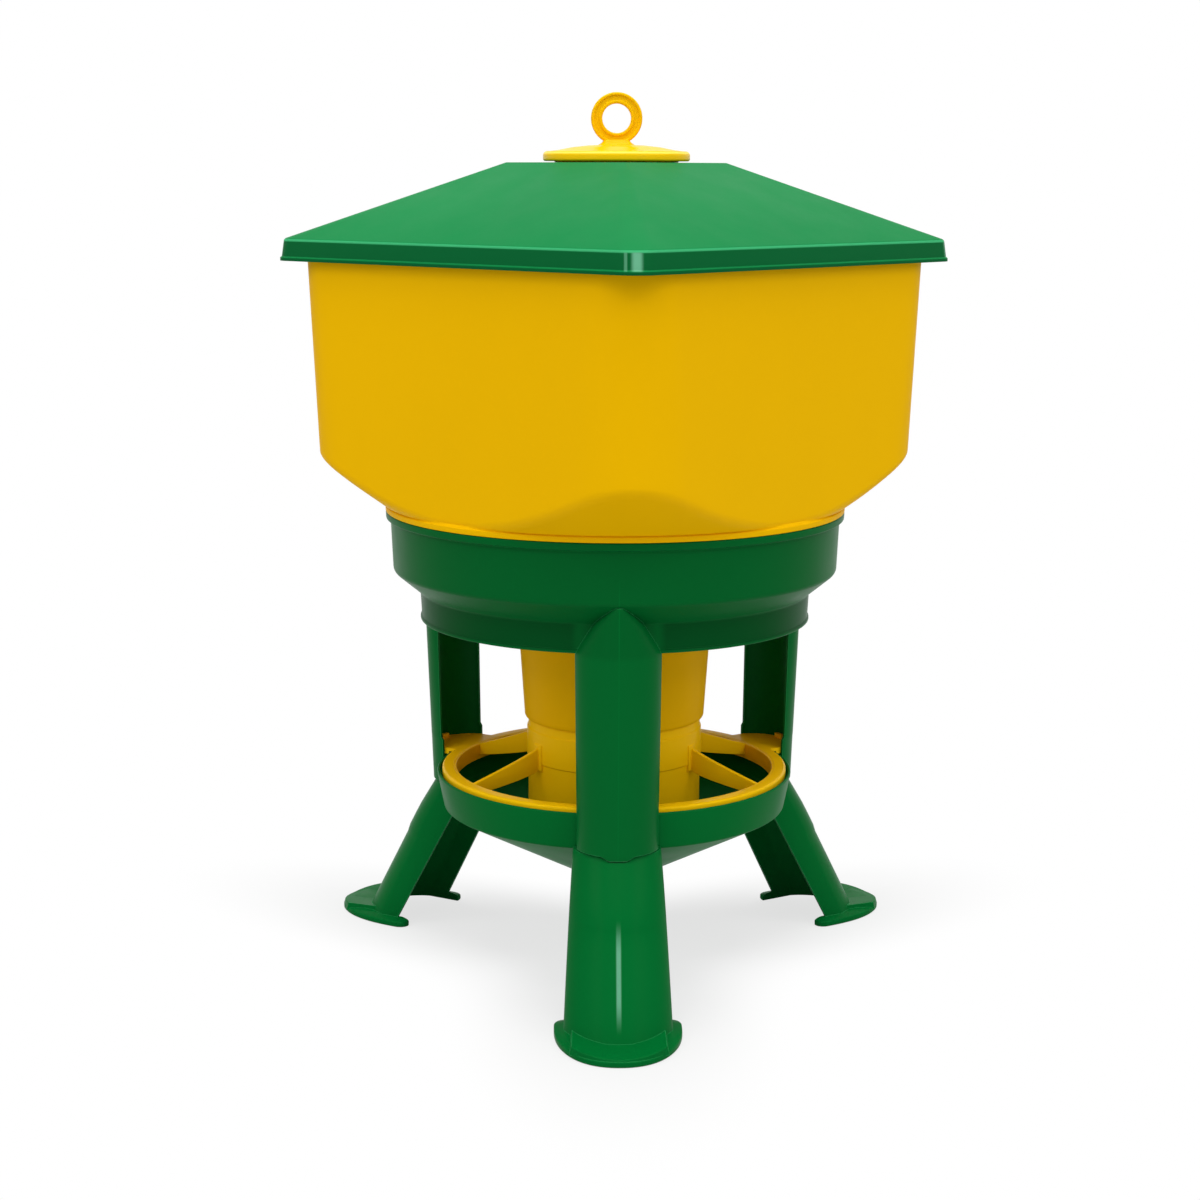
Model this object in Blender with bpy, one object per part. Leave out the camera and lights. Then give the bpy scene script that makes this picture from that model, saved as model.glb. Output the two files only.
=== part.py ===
"""Poultry feeder on legs: roofed hopper, collar stand, feed grill and trough pan.

Metres, +Z up, floor at Z = 0, the front leg points to -Y.
"""

from math import asin, atan2, cos, pi, radians, sin, sqrt, tan

import bmesh
import bpy
from mathutils import Matrix, Vector

# Fits
GAP = 0.0003  # between two pieces that touch
SLIDE_GAP = 0.0006  # between two pieces that slide or push together
JOINT_OVERLAP = 0.002  # shapes of one moulding run this far into each other

# Trough pan
PAN_RADIUS = 0.180
PAN_RIM_Z = 0.1936
PAN_BAND = 0.0365  # height of the upright band
PAN_BAND_DRAFT = 0.0069
PAN_SLOPE = 0.525  # drop per unit of radius under the band
PAN_VALLEY_RADIUS = 0.046
PAN_SPREADER_Z = 0.150
PAN_WALL = 0.0026
PAN_LEDGE = 0.0052  # width of the inner ledge that carries the grill
PAN_LEDGE_DROP = 0.0052

# Feed grill
GRILL_TOP_Z = 0.1975
GRILL_RADIUS = PAN_RADIUS - 0.0052
GRILL_RING_WIDTH = 0.0143
GRILL_WALL = 0.0022
GRILL_INNER_SKIRT = 0.0165
SLEEVE_RADIUS = 0.0872
SLEEVE_STEP = 0.0012  # the upper part stands out this much
SLEEVE_TOP_Z = 0.268
SLEEVE_BOTTOM_Z = 0.140
SLEEVE_STEP_Z = 0.207
SPOKE_COUNT = 6
SPOKE_ROOT_Z = (0.203, 0.2255)
SPOKE_TIP_HEIGHT = 0.0125
SPOKE_THICKNESS = 0.0044
LUG_GAP = 0.0012  # round the lug inside its channel
LUG_TAB = (0.0060, 0.0045)  # half width and height
GRILL_LIFT = 0.0090  # free travel before the sleeve's shoulder meets the feed tube

# Stand collar with its three upper legs
COLLAR_LIP_RADIUS = 0.2284
COLLAR_TOP_Z = 0.4604
COLLAR_LIP_HEIGHT = 0.0068
COLLAR_BAND_RADIUS = 0.2236
COLLAR_BAND_BOTTOM = (0.2214, 0.4015)
COLLAR_NECK_TOP = (0.1949, 0.3797)
COLLAR_NECK_BOTTOM = (0.1935, 0.3512)
COLLAR_WALL = 0.0028
LEG_COUNT = 3
LEG_WALL = 0.0028
LEG_JOINT_Z = 0.1570  # lowest point of the joint, at the middle of the web
LEG_JOINT_STEP = 0.0038  # the joint line rises this much towards the walls
LEG_JOINT_STEP_AT = (0.0075, 0.0175)  # and does so between these distances from the middle
LEG_HALF_WIDTH = (0.0385, 0.0405)  # at the joint and under the collar
LEG_CREST = (0.2120, 0.2205)  # radius of the web at the joint and under the collar
LEG_EDGE = (0.1823, 0.1860)  # radius of the channel's open edges, same places
LEG_EDGE_STEP_Z = 0.206

# Lower legs
FOOT_SPLAY = 0.548  # run outwards per unit of drop
FOOT_CREST = (0.2638, 0.061)  # a point on the web's centre line
FOOT_EDGE = (0.2118, 0.050)  # a point on the channel's open edge
FOOT_HALF_WIDTH = (0.0410, 0.0512)  # at the joint and at the floor
FOOT_SHOULDER_Z = 0.104
TONGUE_HEIGHT = 0.026
PAD_CENTRE = 0.268
PAD_RADIUS = 0.0604
PAD_BACK = 0.224
PAD_CORNER = 0.007
PAD_THICKNESS = 0.0048
PAD_BAND_TOP = 0.0092
PAD_BAND_REACH = radians(47)  # the raised band runs this far to both sides

# Roof lid
LID_HALF_SIDE = 0.2380
LID_CORNER = 0.022
LID_EAVE_Z = 0.7045
LID_SKIRT = 0.0211
LID_TOP_HALF_SIDE = 0.0780
LID_TOP_Z = 0.7990
LID_WALL = 0.0025
LID_SHOULDER = 0.0045  # the slope starts this far inside the skirt
LID_SAG = 0.0006
FILLER_RADIUS = 0.058

# Hopper
HOPPER_TURN = radians(2.0)  # it sits turned this much in the round collar
HOPPER_WALL = 0.0026
HOPPER_TOP_Z = LID_EAVE_Z + LID_SKIRT - 0.0024  # the rim carries the lid
TUB_TOP = (LID_HALF_SIDE - 0.0100, 0.050)  # half side and corner radius
TUB_BOTTOM = (0.2256, 0.070)
NECK_RADIUS = 0.2284
NECK_TOP_Z = 0.467
CONE_SLOPE = 0.724
SPIGOT_Z = 0.438
TUBE_TOP = (0.0965, 0.336)
TUBE_BOTTOM = (0.0906, 0.2490)
TUBE_WALL = 0.0026

# Filler cap with its ring handle
CAP_RADIUS = 0.0715
CAP_RIM_HEIGHT = 0.0084
CAP_DOME = 0.0068
CAP_WALL = 0.0024
CAP_SEAT = (0.0603, 0.0020)  # radius and height of the seat ring under the rim
PLUG_DEPTH = 0.018
RING_RADII = (0.0140, 0.0249)
RING_CENTRE_Z = 0.8412
RING_DEPTH = 0.0084
RING_RECESS = 0.0012

ROUND_STEPS = 64
SMALL_STEPS = 40

YELLOW = (0.79, 0.43, 0.0)
YELLOW_LIGHT = (0.93, 0.52, 0.003)
GREEN = (0.0, 0.129, 0.026)
GREEN_ROOF = (0.013, 0.245, 0.060)


def clear_scene():
    for obj in list(bpy.data.objects):
        bpy.data.objects.remove(obj, do_unlink=True)


def plastic(name, colour, roughness):
    material = bpy.data.materials.new(name)
    material.use_nodes = True
    shader = material.node_tree.nodes["Principled BSDF"]
    shader.inputs["Base Color"].default_value = (*colour, 1.0)
    shader.inputs["Roughness"].default_value = roughness
    shader.inputs["Metallic"].default_value = 0.0
    material.diffuse_color = (*colour, 1.0)
    return material


def object_from(name, bm, material=None):
    """Closes a bmesh into an object whose faces point outwards."""
    bmesh.ops.remove_doubles(bm, verts=bm.verts, dist=1e-6)
    bmesh.ops.recalc_face_normals(bm, faces=bm.faces)
    if bm.calc_volume(signed=True) < 0:
        bmesh.ops.reverse_faces(bm, faces=bm.faces)
    mesh = bpy.data.meshes.new(name)
    bm.to_mesh(mesh)
    bm.free()
    obj = bpy.data.objects.new(name, mesh)
    bpy.context.scene.collection.objects.link(obj)
    if material:
        mesh.materials.append(material)
    return obj


def fillet(points, radii, steps=2):
    """Rounds the corners of a closed outline; a radius of 0 keeps a corner sharp."""
    result = []
    count = len(points)
    for index, radius in enumerate(radii):
        here = Vector(points[index])
        before = Vector(points[index - 1]) - here
        after = Vector(points[(index + 1) % count]) - here
        if radius <= 0:
            result.append(tuple(here))
            continue
        half = before.angle(after) / 2
        reach = min(radius / tan(half), 0.45 * before.length, 0.45 * after.length)
        centre = here + (before.normalized() + after.normalized()).normalized() * (
            reach / cos(half)
        )
        start = here + before.normalized() * reach - centre
        end = here + after.normalized() * reach - centre
        sweep = start.angle_signed(end)
        for step in range(steps + 1):
            turned_arm = start.copy()
            turned_arm.rotate(Matrix.Rotation(-sweep * step / steps, 2))
            result.append(tuple(centre + turned_arm))
    return result


def turned(name, outline, steps, material=None):
    """Revolves an (r, z) outline about Z; an outline that touches the axis stays open there."""
    bm = bmesh.new()
    verts = [bm.verts.new((r, 0, z)) for r, z in outline]
    pairs = list(zip(verts, verts[1:]))
    if outline[0][0] > 0 or outline[-1][0] > 0:
        pairs.append((verts[-1], verts[0]))
    edges = [bm.edges.new(pair) for pair in pairs]
    bmesh.ops.spin(
        bm,
        geom=verts + edges,
        cent=(0, 0, 0),
        axis=(0, 0, 1),
        angle=2 * pi,
        steps=steps,
        use_merge=True,
    )
    return object_from(name, bm, material)


def lofted(name, rings, material=None, tube=False):
    """Skins rings of equal count; tube joins the last ring to the first, else both are capped."""
    bm = bmesh.new()
    loops = [[bm.verts.new(point) for point in ring] for ring in rings]
    pairs = list(zip(loops, loops[1:]))
    if tube:
        pairs.append((loops[-1], loops[0]))
    else:
        bm.faces.new(loops[0])
        bm.faces.new(loops[-1])
    for lower, upper in pairs:
        for index in range(len(lower)):
            after = (index + 1) % len(lower)
            bm.faces.new((lower[index], lower[after], upper[after], upper[index]))
    return object_from(name, bm, material)


def helper(obj):
    obj.hide_render = True
    obj.display_type = "WIRE"
    return obj


def combine(target, other, operation):
    """Adds an exact Boolean modifier; the other object becomes a hidden helper that moves along."""
    modifier = target.modifiers.new(operation.lower(), "BOOLEAN")
    modifier.operation = operation
    modifier.solver = "EXACT"
    modifier.object = helper(other)
    other.parent = target
    return target


def spun_copies(obj, count, first_angle):
    """Turns the mesh about Z to each of count even angles and returns the objects."""
    copies = []
    for index in range(count):
        copy = obj if index == count - 1 else obj.copy()
        if copy is not obj:
            copy.data = obj.data.copy()
            bpy.context.scene.collection.objects.link(copy)
        copy.data.transform(Matrix.Rotation(first_angle + 2 * pi * index / count, 4, "Z"))
        copies.append(copy)
    return copies


def between(pair, share):
    return pair[0] + (pair[1] - pair[0]) * share


def rounded_square(half, radius, z, corner_steps=5, side_steps=8):
    """Ring of a square with rounded corners, one corner towards -Y before any turn."""
    points = []
    reach = atan2(half - radius, half)
    for corner in range(4):
        middle = -pi / 2 + corner * pi / 2
        centre = (half - radius) * sqrt(2)
        for step in range(corner_steps + 1):
            angle = middle - pi / 4 + (pi / 2) * step / corner_steps
            x = centre * cos(middle) + radius * cos(angle)
            points.append((x, centre * sin(middle) + radius * sin(angle), z))
        facing = middle + pi / 4
        for step in range(1, side_steps):
            along = half * tan(reach * (2 * step / side_steps - 1))
            x = half * cos(facing) - along * sin(facing)
            points.append((x, half * sin(facing) + along * cos(facing), z))
    return points


def tub_form(name, inset, top_z, material=None):
    """Rounded-square tub cut by the cone that narrows to the neck."""
    rings = []
    for z in (SPIGOT_Z, top_z):
        share = (z - NECK_TOP_Z) / (HOPPER_TOP_Z - NECK_TOP_Z)
        half = between((TUB_BOTTOM[0], TUB_TOP[0]), share) - inset
        radius = between((TUB_BOTTOM[1], TUB_TOP[1]), share) - inset
        rings.append(rounded_square(half, radius, z))
    tub = lofted(name, rings, material)
    steep = sqrt(1 + CONE_SLOPE**2)
    start = NECK_RADIUS - inset * steep / CONE_SLOPE
    rise = NECK_TOP_Z - SPIGOT_Z + 0.004
    reach = (top_z - NECK_TOP_Z + 0.01) / CONE_SLOPE
    cone = [
        (0, NECK_TOP_Z - rise),
        (start - rise / CONE_SLOPE, NECK_TOP_Z - rise),
        (start + reach, top_z + 0.01),
        (0, top_z + 0.01),
    ]
    return combine(tub, turned(name + "_cone", cone, ROUND_STEPS), "INTERSECT")


def hopper_rim():
    """Rolled outer bead at the mouth, which carries the lid."""
    rings = []
    for grow, z in ((-0.0010, -0.0082), (0.0020, -0.0068), (0.0022, -0.0010), (0.0014, 0.0)):
        rings.append(rounded_square(TUB_TOP[0] + grow, TUB_TOP[1] + grow, HOPPER_TOP_Z + z))
    return lofted("hopper_rim", rings)


def neck_and_tube():
    """Outer round form: neck band, spigot inside the collar, funnel and feed tube."""
    seat = COLLAR_TOP_Z + GAP
    spigot = COLLAR_BAND_BOTTOM[0] - COLLAR_WALL - 2 * SLIDE_GAP
    outline = [
        (0, TUBE_BOTTOM[1]),
        (TUBE_BOTTOM[0] - 0.0019, TUBE_BOTTOM[1]),
        (TUBE_BOTTOM[0] - 0.0004, TUBE_BOTTOM[1] + 0.0020),
        (TUBE_BOTTOM[0] + 0.0003, TUBE_BOTTOM[1] + 0.0056),
        TUBE_TOP,
        (spigot, SPIGOT_Z),
        (spigot, seat),
        (NECK_RADIUS - 0.0012, seat),
        (NECK_RADIUS, seat + 0.0012),
        (NECK_RADIUS, NECK_TOP_Z - 0.0006),
        (NECK_RADIUS - 0.0016, NECK_TOP_Z + 0.0010),
        (0, NECK_TOP_Z + 0.0010),
    ]
    return turned("hopper_neck", outline, ROUND_STEPS)


def neck_room():
    """Inner round form, one wall inside the neck, the funnel and the tube."""
    inner = COLLAR_BAND_BOTTOM[0] - COLLAR_WALL - 2 * SLIDE_GAP - HOPPER_WALL
    bore = TUBE_BOTTOM[0] - TUBE_WALL
    outline = [
        (0, TUBE_BOTTOM[1] - 0.01),
        (bore, TUBE_BOTTOM[1] - 0.01),
        (bore, TUBE_BOTTOM[1] + 0.004),
        (TUBE_TOP[0] - TUBE_WALL, TUBE_TOP[1] + 0.0012),
        (inner, SPIGOT_Z + 0.0012),
        (inner, NECK_TOP_Z - 0.0004),
        (inner + 0.0040, NECK_TOP_Z + 0.0030),
        (0, NECK_TOP_Z + 0.0030),
    ]
    return turned("hopper_room", outline, ROUND_STEPS)


def hopper(material):
    """Square tub on a cone, a round neck on the collar, a funnel and the feed tube."""
    obj = tub_form("hopper", 0, HOPPER_TOP_Z - 0.0005, material)
    combine(obj, hopper_rim(), "UNION")
    combine(obj, neck_and_tube(), "UNION")
    room = tub_form("hopper_space", HOPPER_WALL, HOPPER_TOP_Z + 0.01)
    combine(room, neck_room(), "UNION")
    return combine(obj, baked(room), "DIFFERENCE")


def roof_slope(share):
    """Half side, corner radius and height at a share of the way up the roof's slope."""
    half = between((LID_HALF_SIDE - LID_SHOULDER, LID_TOP_HALF_SIDE), share)
    radius = between((LID_CORNER - 0.002, 0.008), share)
    sag = LID_SAG * sin(pi * min(1.0, share * 2.2) ** 0.6)
    return half, radius, between((LID_EAVE_Z + LID_SKIRT, LID_TOP_Z), share) - sag


def lid_rings(inset):
    """Rings of the roof from the eave to the flat top; inset gives the inner skin."""
    steep = (LID_TOP_Z - LID_EAVE_Z - LID_SKIRT) / (LID_HALF_SIDE - LID_TOP_HALF_SIDE)
    drop = inset * sqrt(1 + steep * steep)
    skirt_z = LID_EAVE_Z + LID_SKIRT
    side, corner = LID_HALF_SIDE - inset, LID_CORNER - inset
    sections = [
        (side, corner, LID_EAVE_Z - (0.01 if inset else 0)),
        (side, corner, LID_EAVE_Z + 0.0030),
        (side - 0.0012, corner, LID_EAVE_Z + 0.0046),
        (side - 0.0026, corner - 0.001, skirt_z - 0.0030 - drop * 0.5),
    ]
    for share in (0, 0.06, 0.125, 0.52, 0.90, 0.985):
        half, radius, z = roof_slope(share)
        near_skirt = inset * (1 - share)
        sections.append((half - near_skirt, radius - inset * 0.4, z - drop))
    sections.append((LID_TOP_HALF_SIDE - 0.0015, 0.008 - inset * 0.4, LID_TOP_Z - drop))
    return [rounded_square(half, radius, z, 5, 2) for half, radius, z in sections]


def roof_lid(material):
    """Thin four-sided roof with a drip skirt and a round filler opening in its flat top."""
    obj = lofted("roof_lid", lid_rings(0), material)
    combine(obj, lofted("roof_lid_inside", lid_rings(LID_WALL)), "DIFFERENCE")
    bore = [
        (0, LID_TOP_Z - 0.03),
        (FILLER_RADIUS, LID_TOP_Z - 0.03),
        (FILLER_RADIUS, LID_TOP_Z + 0.03),
        (0, LID_TOP_Z + 0.03),
    ]
    combine(obj, turned("roof_lid_bore", bore, SMALL_STEPS), "DIFFERENCE")
    return obj


def cap_disc(material):
    """Shallow dome, rolled rim, seat ring and the hollow plug in the filler opening."""
    seat = LID_TOP_Z + GAP
    under = seat + CAP_SEAT[1]
    rim_top = under + CAP_RIM_HEIGHT
    plug = FILLER_RADIUS - SLIDE_GAP
    dome_top = rim_top + CAP_DOME
    outer = fillet(
        [
            (plug, under - PLUG_DEPTH),
            (plug, seat),
            (CAP_SEAT[0], seat),
            (CAP_SEAT[0], under),
            (CAP_RADIUS, under),
            (CAP_RADIUS, rim_top),
            (CAP_RADIUS - 0.0080, rim_top + 0.0004),
        ],
        [0, 0, 0, 0, 0.0016, 0.0030, 0.0040],
    )
    dome = [
        (CAP_RADIUS * 0.80 * (1 - k / 5), rim_top + CAP_DOME * (0.18 + 0.82 * sin(pi / 2 * k / 5)))
        for k in range(5)
    ]
    inner = [
        (0, dome_top - CAP_WALL),
        (plug * 0.5, dome_top - CAP_WALL - 0.0016),
        (plug - CAP_WALL, rim_top - CAP_WALL),
        (plug - CAP_WALL, under - PLUG_DEPTH),
    ]
    return turned("filler_cap", [*inner, *outer, *dome, (0, dome_top)], SMALL_STEPS, material)


def ring_handle_parts():
    """Grooved finger ring and the flared foot under it."""
    low, high = RING_RADII
    half = RING_DEPTH / 2
    rim = 0.0024
    section = [
        (low, -half + 0.001),
        (low + 0.001, -half),
        (low + rim, -half),
        (low + rim + 0.0008, -half + RING_RECESS),
        (high - rim - 0.0008, -half + RING_RECESS),
        (high - rim, -half),
        (high - 0.001, -half),
        (high, -half + 0.001),
    ]
    outline = section + [(r, -z) for r, z in reversed(section)]
    ring = turned("cap_ring", outline, 32)
    ring.data.transform(
        Matrix.Translation((0, 0, RING_CENTRE_Z)) @ Matrix.Rotation(pi / 2, 4, "X")
    )
    dome_top = LID_TOP_Z + GAP + CAP_SEAT[1] + CAP_RIM_HEIGHT + CAP_DOME
    sections = [
        (dome_top - 0.0042, 0.0205, 0.0105),
        (dome_top - 0.0010, 0.0175, 0.0085),
        (dome_top + 0.0018, 0.0140, 0.0062),
        (dome_top + 0.0045, 0.0122, 0.0046),
        (RING_CENTRE_Z - high * cos(asin(0.0126 / high)) + 0.0012, 0.0126, 0.0040),
    ]
    foot = lofted("cap_foot", [rounded_box_ring(w, d, z) for z, w, d in sections])
    return ring, foot


def rounded_box_ring(half_x, half_y, z, steps=3):
    """Ring of a rectangle with corners rounded to its shorter half."""
    radius = min(half_x, half_y) * 0.8
    points = []
    for corner, (sx, sy) in enumerate(((1, -1), (1, 1), (-1, 1), (-1, -1))):
        centre_x, centre_y = sx * (half_x - radius), sy * (half_y - radius)
        for step in range(steps + 1):
            angle = -pi / 2 + corner * pi / 2 + (pi / 2) * step / steps
            points.append((centre_x + radius * cos(angle), centre_y + radius * sin(angle), z))
    return points


def filler_cap(material):
    cap = cap_disc(material)
    ring, foot = ring_handle_parts()
    combine(cap, foot, "UNION")
    combine(cap, ring, "UNION")
    arch = rounded_arch_cutter()
    return combine(cap, arch, "DIFFERENCE")


def rounded_arch_cutter():
    """Small arch through the foot that leaves it standing on two feet."""
    dome_top = LID_TOP_Z + GAP + CAP_SEAT[1] + CAP_RIM_HEIGHT + CAP_DOME
    angles = [pi * k / 8 for k in range(9)]
    outline = [(0.0052 * cos(a), dome_top + 0.0004 + 0.0040 * sin(a)) for a in angles]
    rings = [[(x, y, z) for x, z in outline] for y in (-0.02, 0.02)]
    return lofted("cap_arch", rings)


def collar_outline(inset, top_z, bottom_z):
    """Outer or inner outline of the collar, from bottom to top."""
    return [
        (COLLAR_NECK_BOTTOM[0] - inset, bottom_z),
        (COLLAR_NECK_TOP[0] - inset, COLLAR_NECK_TOP[1] + inset * 0.5),
        (COLLAR_BAND_BOTTOM[0] - inset, COLLAR_BAND_BOTTOM[1] + inset * 0.5),
        (COLLAR_BAND_RADIUS - inset, top_z),
    ]


def collar_solid(material):
    """The collar as a full plug: flange lip, tall band, cone and beaded neck."""
    neck, cone, band, _ = collar_outline(0, COLLAR_TOP_Z, COLLAR_NECK_BOTTOM[1])
    lip_z = COLLAR_TOP_Z - COLLAR_LIP_HEIGHT
    corners = [
        (neck[0] + 0.0014, neck[1]),
        (neck[0] + 0.0014, neck[1] + 0.0026),
        (neck[0] + 0.0001, neck[1] + 0.0040),
        cone,
        band,
        (COLLAR_BAND_RADIUS, lip_z - 0.0014),
        (COLLAR_LIP_RADIUS - 0.0004, lip_z),
        (COLLAR_LIP_RADIUS, COLLAR_TOP_Z),
    ]
    side = fillet(
        [(0, neck[1]), *corners, (0, COLLAR_TOP_Z)],
        [0, 0.0009, 0, 0, 0.004, 0.006, 0, 0.0012, 0.0012, 0],
    )
    return turned("stand_collar", side, ROUND_STEPS, material)


def collar_void():
    neck, cone, band, top = collar_outline(
        COLLAR_WALL, COLLAR_TOP_Z + 0.02, COLLAR_NECK_BOTTOM[1] - 0.02
    )
    return turned(
        "collar_void", [(0, neck[1]), neck, cone, band, top, (0, top[1])], ROUND_STEPS
    )


def channel_ring(z, crest, edge, half, depth, inset, steps=12):
    """D-shaped section of a leg: a round web, then straight walls to the open edge."""
    crest -= inset
    half -= inset
    sagitta = min(depth - inset, half * 0.999)
    radius = (half * half + sagitta * sagitta) / (2 * sagitta)
    reach = asin(half / radius)
    points = [
        (crest - radius + radius * cos(a), radius * sin(a), z)
        for a in (reach * (2 * k / steps - 1) for k in range(steps + 1))
    ]
    if inset:
        edge -= 0.03
    return [*points, (edge, half, z), (edge, -half, z)]


def upper_leg_rings(inset):
    """Sections of an upper leg, narrowing to a pointed arch where it leaves the collar."""
    low, high = LEG_JOINT_Z, COLLAR_NECK_BOTTOM[1]
    rings = []
    straight = low + 0.004  # no taper up to here, so the channel's end stays flat
    start = low - (0.02 if inset else 0.002)
    levels = [start, straight, LEG_EDGE_STEP_Z, LEG_EDGE_STEP_Z + 0.003, high]
    for z in levels:
        share = max(0.0, z - straight) / (high - straight)
        edge = between(LEG_EDGE, share) + (0.0016 if z > LEG_EDGE_STEP_Z else -0.0004)
        crest = between(LEG_CREST, share)
        half = between(LEG_HALF_WIDTH, share)
        rings.append(channel_ring(z, crest, edge, half, crest - edge - 0.0005, inset))
    crest = LEG_CREST[1]
    edge = LEG_EDGE[1]
    arch = COLLAR_BAND_BOTTOM[1] - high
    steps = [(0.30, 0.78, 0.0285), (0.62, 0.54, 0.0210), (0.86, 0.24, 0.0085), (0.95, 0.08, 0.0028)]
    for rise, width, depth in steps[: 2 if inset else 4]:
        half = LEG_HALF_WIDTH[1] * width
        rings.append(channel_ring(high + arch * rise, crest, edge, half, depth, inset))
    return rings


def joint_cutter(name, shift, far_z):
    """Slab from the wavy joint line, moved by shift, to the far height."""
    near, far = LEG_JOINT_STEP_AT
    widths = [near + (far - near) * k / 6 for k in range(7)]
    rises = [LEG_JOINT_STEP * (1 - cos(pi * k / 6)) / 2 for k in range(7)]
    half = [(0.07, LEG_JOINT_STEP), *zip(reversed(widths), reversed(rises))]
    line = [*half, *[(-y, rise) for y, rise in reversed(half)]]
    outline = [(y, LEG_JOINT_Z + rise + shift) for y, rise in line]
    outline += [(-0.07, far_z), (0.07, far_z)]
    return lofted(name, [[(x, y, z) for y, z in outline] for x in (0.15, 0.26)])


def stand_collar(material):
    """Collar and three upper legs as one moulding."""
    obj = collar_solid(material)
    leg = lofted("upper_leg", upper_leg_rings(0))
    combine(leg, joint_cutter("upper_leg_end", 0, LEG_JOINT_Z - 0.02), "DIFFERENCE")
    legs = spun_copies(baked(leg), LEG_COUNT, -pi / 2)
    for leg in legs:
        combine(obj, leg, "UNION")
    space = collar_void()
    channels = lofted("upper_leg_void", upper_leg_rings(LEG_WALL))
    for channel in spun_copies(channels, LEG_COUNT, -pi / 2):
        combine(space, channel, "UNION")
    return combine(obj, baked(space), "DIFFERENCE")


def pan_outline(grow):
    """Outline of the pan's outer skin from the centre out to the rim."""
    band_r = PAN_RADIUS - PAN_BAND_DRAFT
    band_z = PAN_RIM_Z - PAN_BAND
    valley_z = band_z - (band_r - PAN_VALLEY_RADIUS) * PAN_SLOPE
    return band_r + grow, band_z - grow, valley_z - grow


def trough_pan(material):
    """Banded rim, conical floor and the spreader cone under the feed tube."""
    band_r, band_z, valley_z = pan_outline(0)
    wall = PAN_WALL
    spread = PAN_SPREADER_Z
    outline = fillet(
        [
            (0.0001, spread - wall * 1.5),
            (PAN_VALLEY_RADIUS - 0.012, valley_z + 0.0005),
            (PAN_VALLEY_RADIUS, valley_z),
            (band_r, band_z),
            (PAN_RADIUS, PAN_RIM_Z - 0.0012),
            (PAN_RADIUS - 0.0006, PAN_RIM_Z),
            (PAN_RADIUS - wall, PAN_RIM_Z),
            (PAN_RADIUS - wall - 0.0006, PAN_RIM_Z - PAN_LEDGE_DROP),
            (PAN_RADIUS - wall - PAN_LEDGE, PAN_RIM_Z - PAN_LEDGE_DROP),
            (PAN_RADIUS - wall - PAN_LEDGE, PAN_RIM_Z - PAN_LEDGE_DROP - 0.0020),
            (PAN_RADIUS - wall - 0.0018, PAN_RIM_Z - 0.0090),
            (band_r - wall, band_z + wall * 0.7),
            (PAN_VALLEY_RADIUS - 0.002, valley_z + wall),
            (PAN_VALLEY_RADIUS - 0.012, valley_z + wall + 0.0008),
            (0.0001, spread),
        ],
        [0, 0.004, 0, 0.0035, 0, 0, 0.0008, 0, 0, 0, 0, 0.002, 0, 0.004, 0],
    )
    outline[0] = (0, outline[0][1])
    outline[-1] = (0, outline[-1][1])
    return turned("trough_pan", outline, ROUND_STEPS, material)


def grill_ring(material):
    """Top flange with an outer locating skirt and a deeper inner skirt."""
    top = GRILL_TOP_Z
    outer = GRILL_RADIUS
    inner = GRILL_RADIUS - GRILL_RING_WIDTH
    wall = GRILL_WALL
    foot_z = PAN_RIM_Z - PAN_LEDGE_DROP + GAP
    outline = fillet(
        [
            (inner, top - GRILL_INNER_SKIRT),
            (inner + wall, top - GRILL_INNER_SKIRT),
            (inner + wall, top - wall),
            (outer - wall, top - wall),
            (outer - wall, foot_z),
            (outer, foot_z),
            (outer, top),
            (inner, top),
        ],
        [0, 0, 0, 0, 0, 0, 0.0018, 0.0014],
    )
    return turned("feed_grill", outline, ROUND_STEPS, material)


def sleeve():
    """Telescoping sleeve that the hopper's tube slides over."""
    facets = 1 - cos(pi / 40)  # both rounds are made of flats, so the fit allows for them
    fit = (TUBE_BOTTOM[0] - TUBE_WALL) * (1 - facets) - SLIDE_GAP
    wall = GRILL_WALL
    bottom = SLEEVE_BOTTOM_Z
    shoulder = TUBE_BOTTOM[1] - GRILL_LIFT - GAP
    outline = [
        (SLEEVE_RADIUS - wall, bottom),
        (SLEEVE_RADIUS, bottom),
        (SLEEVE_RADIUS, SLEEVE_STEP_Z),
        (SLEEVE_RADIUS + SLEEVE_STEP, SLEEVE_STEP_Z + 0.0008),
        (SLEEVE_RADIUS + SLEEVE_STEP, shoulder - 0.0016),
        (fit, shoulder),
        (fit - 0.0004, SLEEVE_TOP_Z),
        (fit - 0.0004 - wall, SLEEVE_TOP_Z),
        (fit - 0.0004 - wall, SLEEVE_STEP_Z),
    ]
    return turned("grill_sleeve", outline, SMALL_STEPS)


def blade(name, outline, thickness):
    """Flat plate standing in the X-Z plane, centred on Y."""
    rings = [[(x, y, z) for x, z in outline] for y in (-thickness / 2, thickness / 2)]
    return lofted(name, rings)


def spoke():
    """Curved blade from the sleeve to the ring, with a stiffening pad at its root."""
    root = SLEEVE_RADIUS - 0.0008
    tip = GRILL_RADIUS - GRILL_RING_WIDTH + GRILL_WALL * 0.6
    low, high = SPOKE_ROOT_Z
    ends = ((low, GRILL_TOP_Z - SPOKE_TIP_HEIGHT), (high, GRILL_TOP_Z - 0.0004))
    bottom, top = [], []
    for k in range(7):
        radius = between((root, tip), k / 6)
        bottom.append((radius, between(ends[0], (k / 6) ** 0.6)))
        top.append((radius, between(ends[1], (k / 6) ** 0.85)))
    return blade("grill_spoke", [*bottom, *reversed(top)], SPOKE_THICKNESS)


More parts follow.
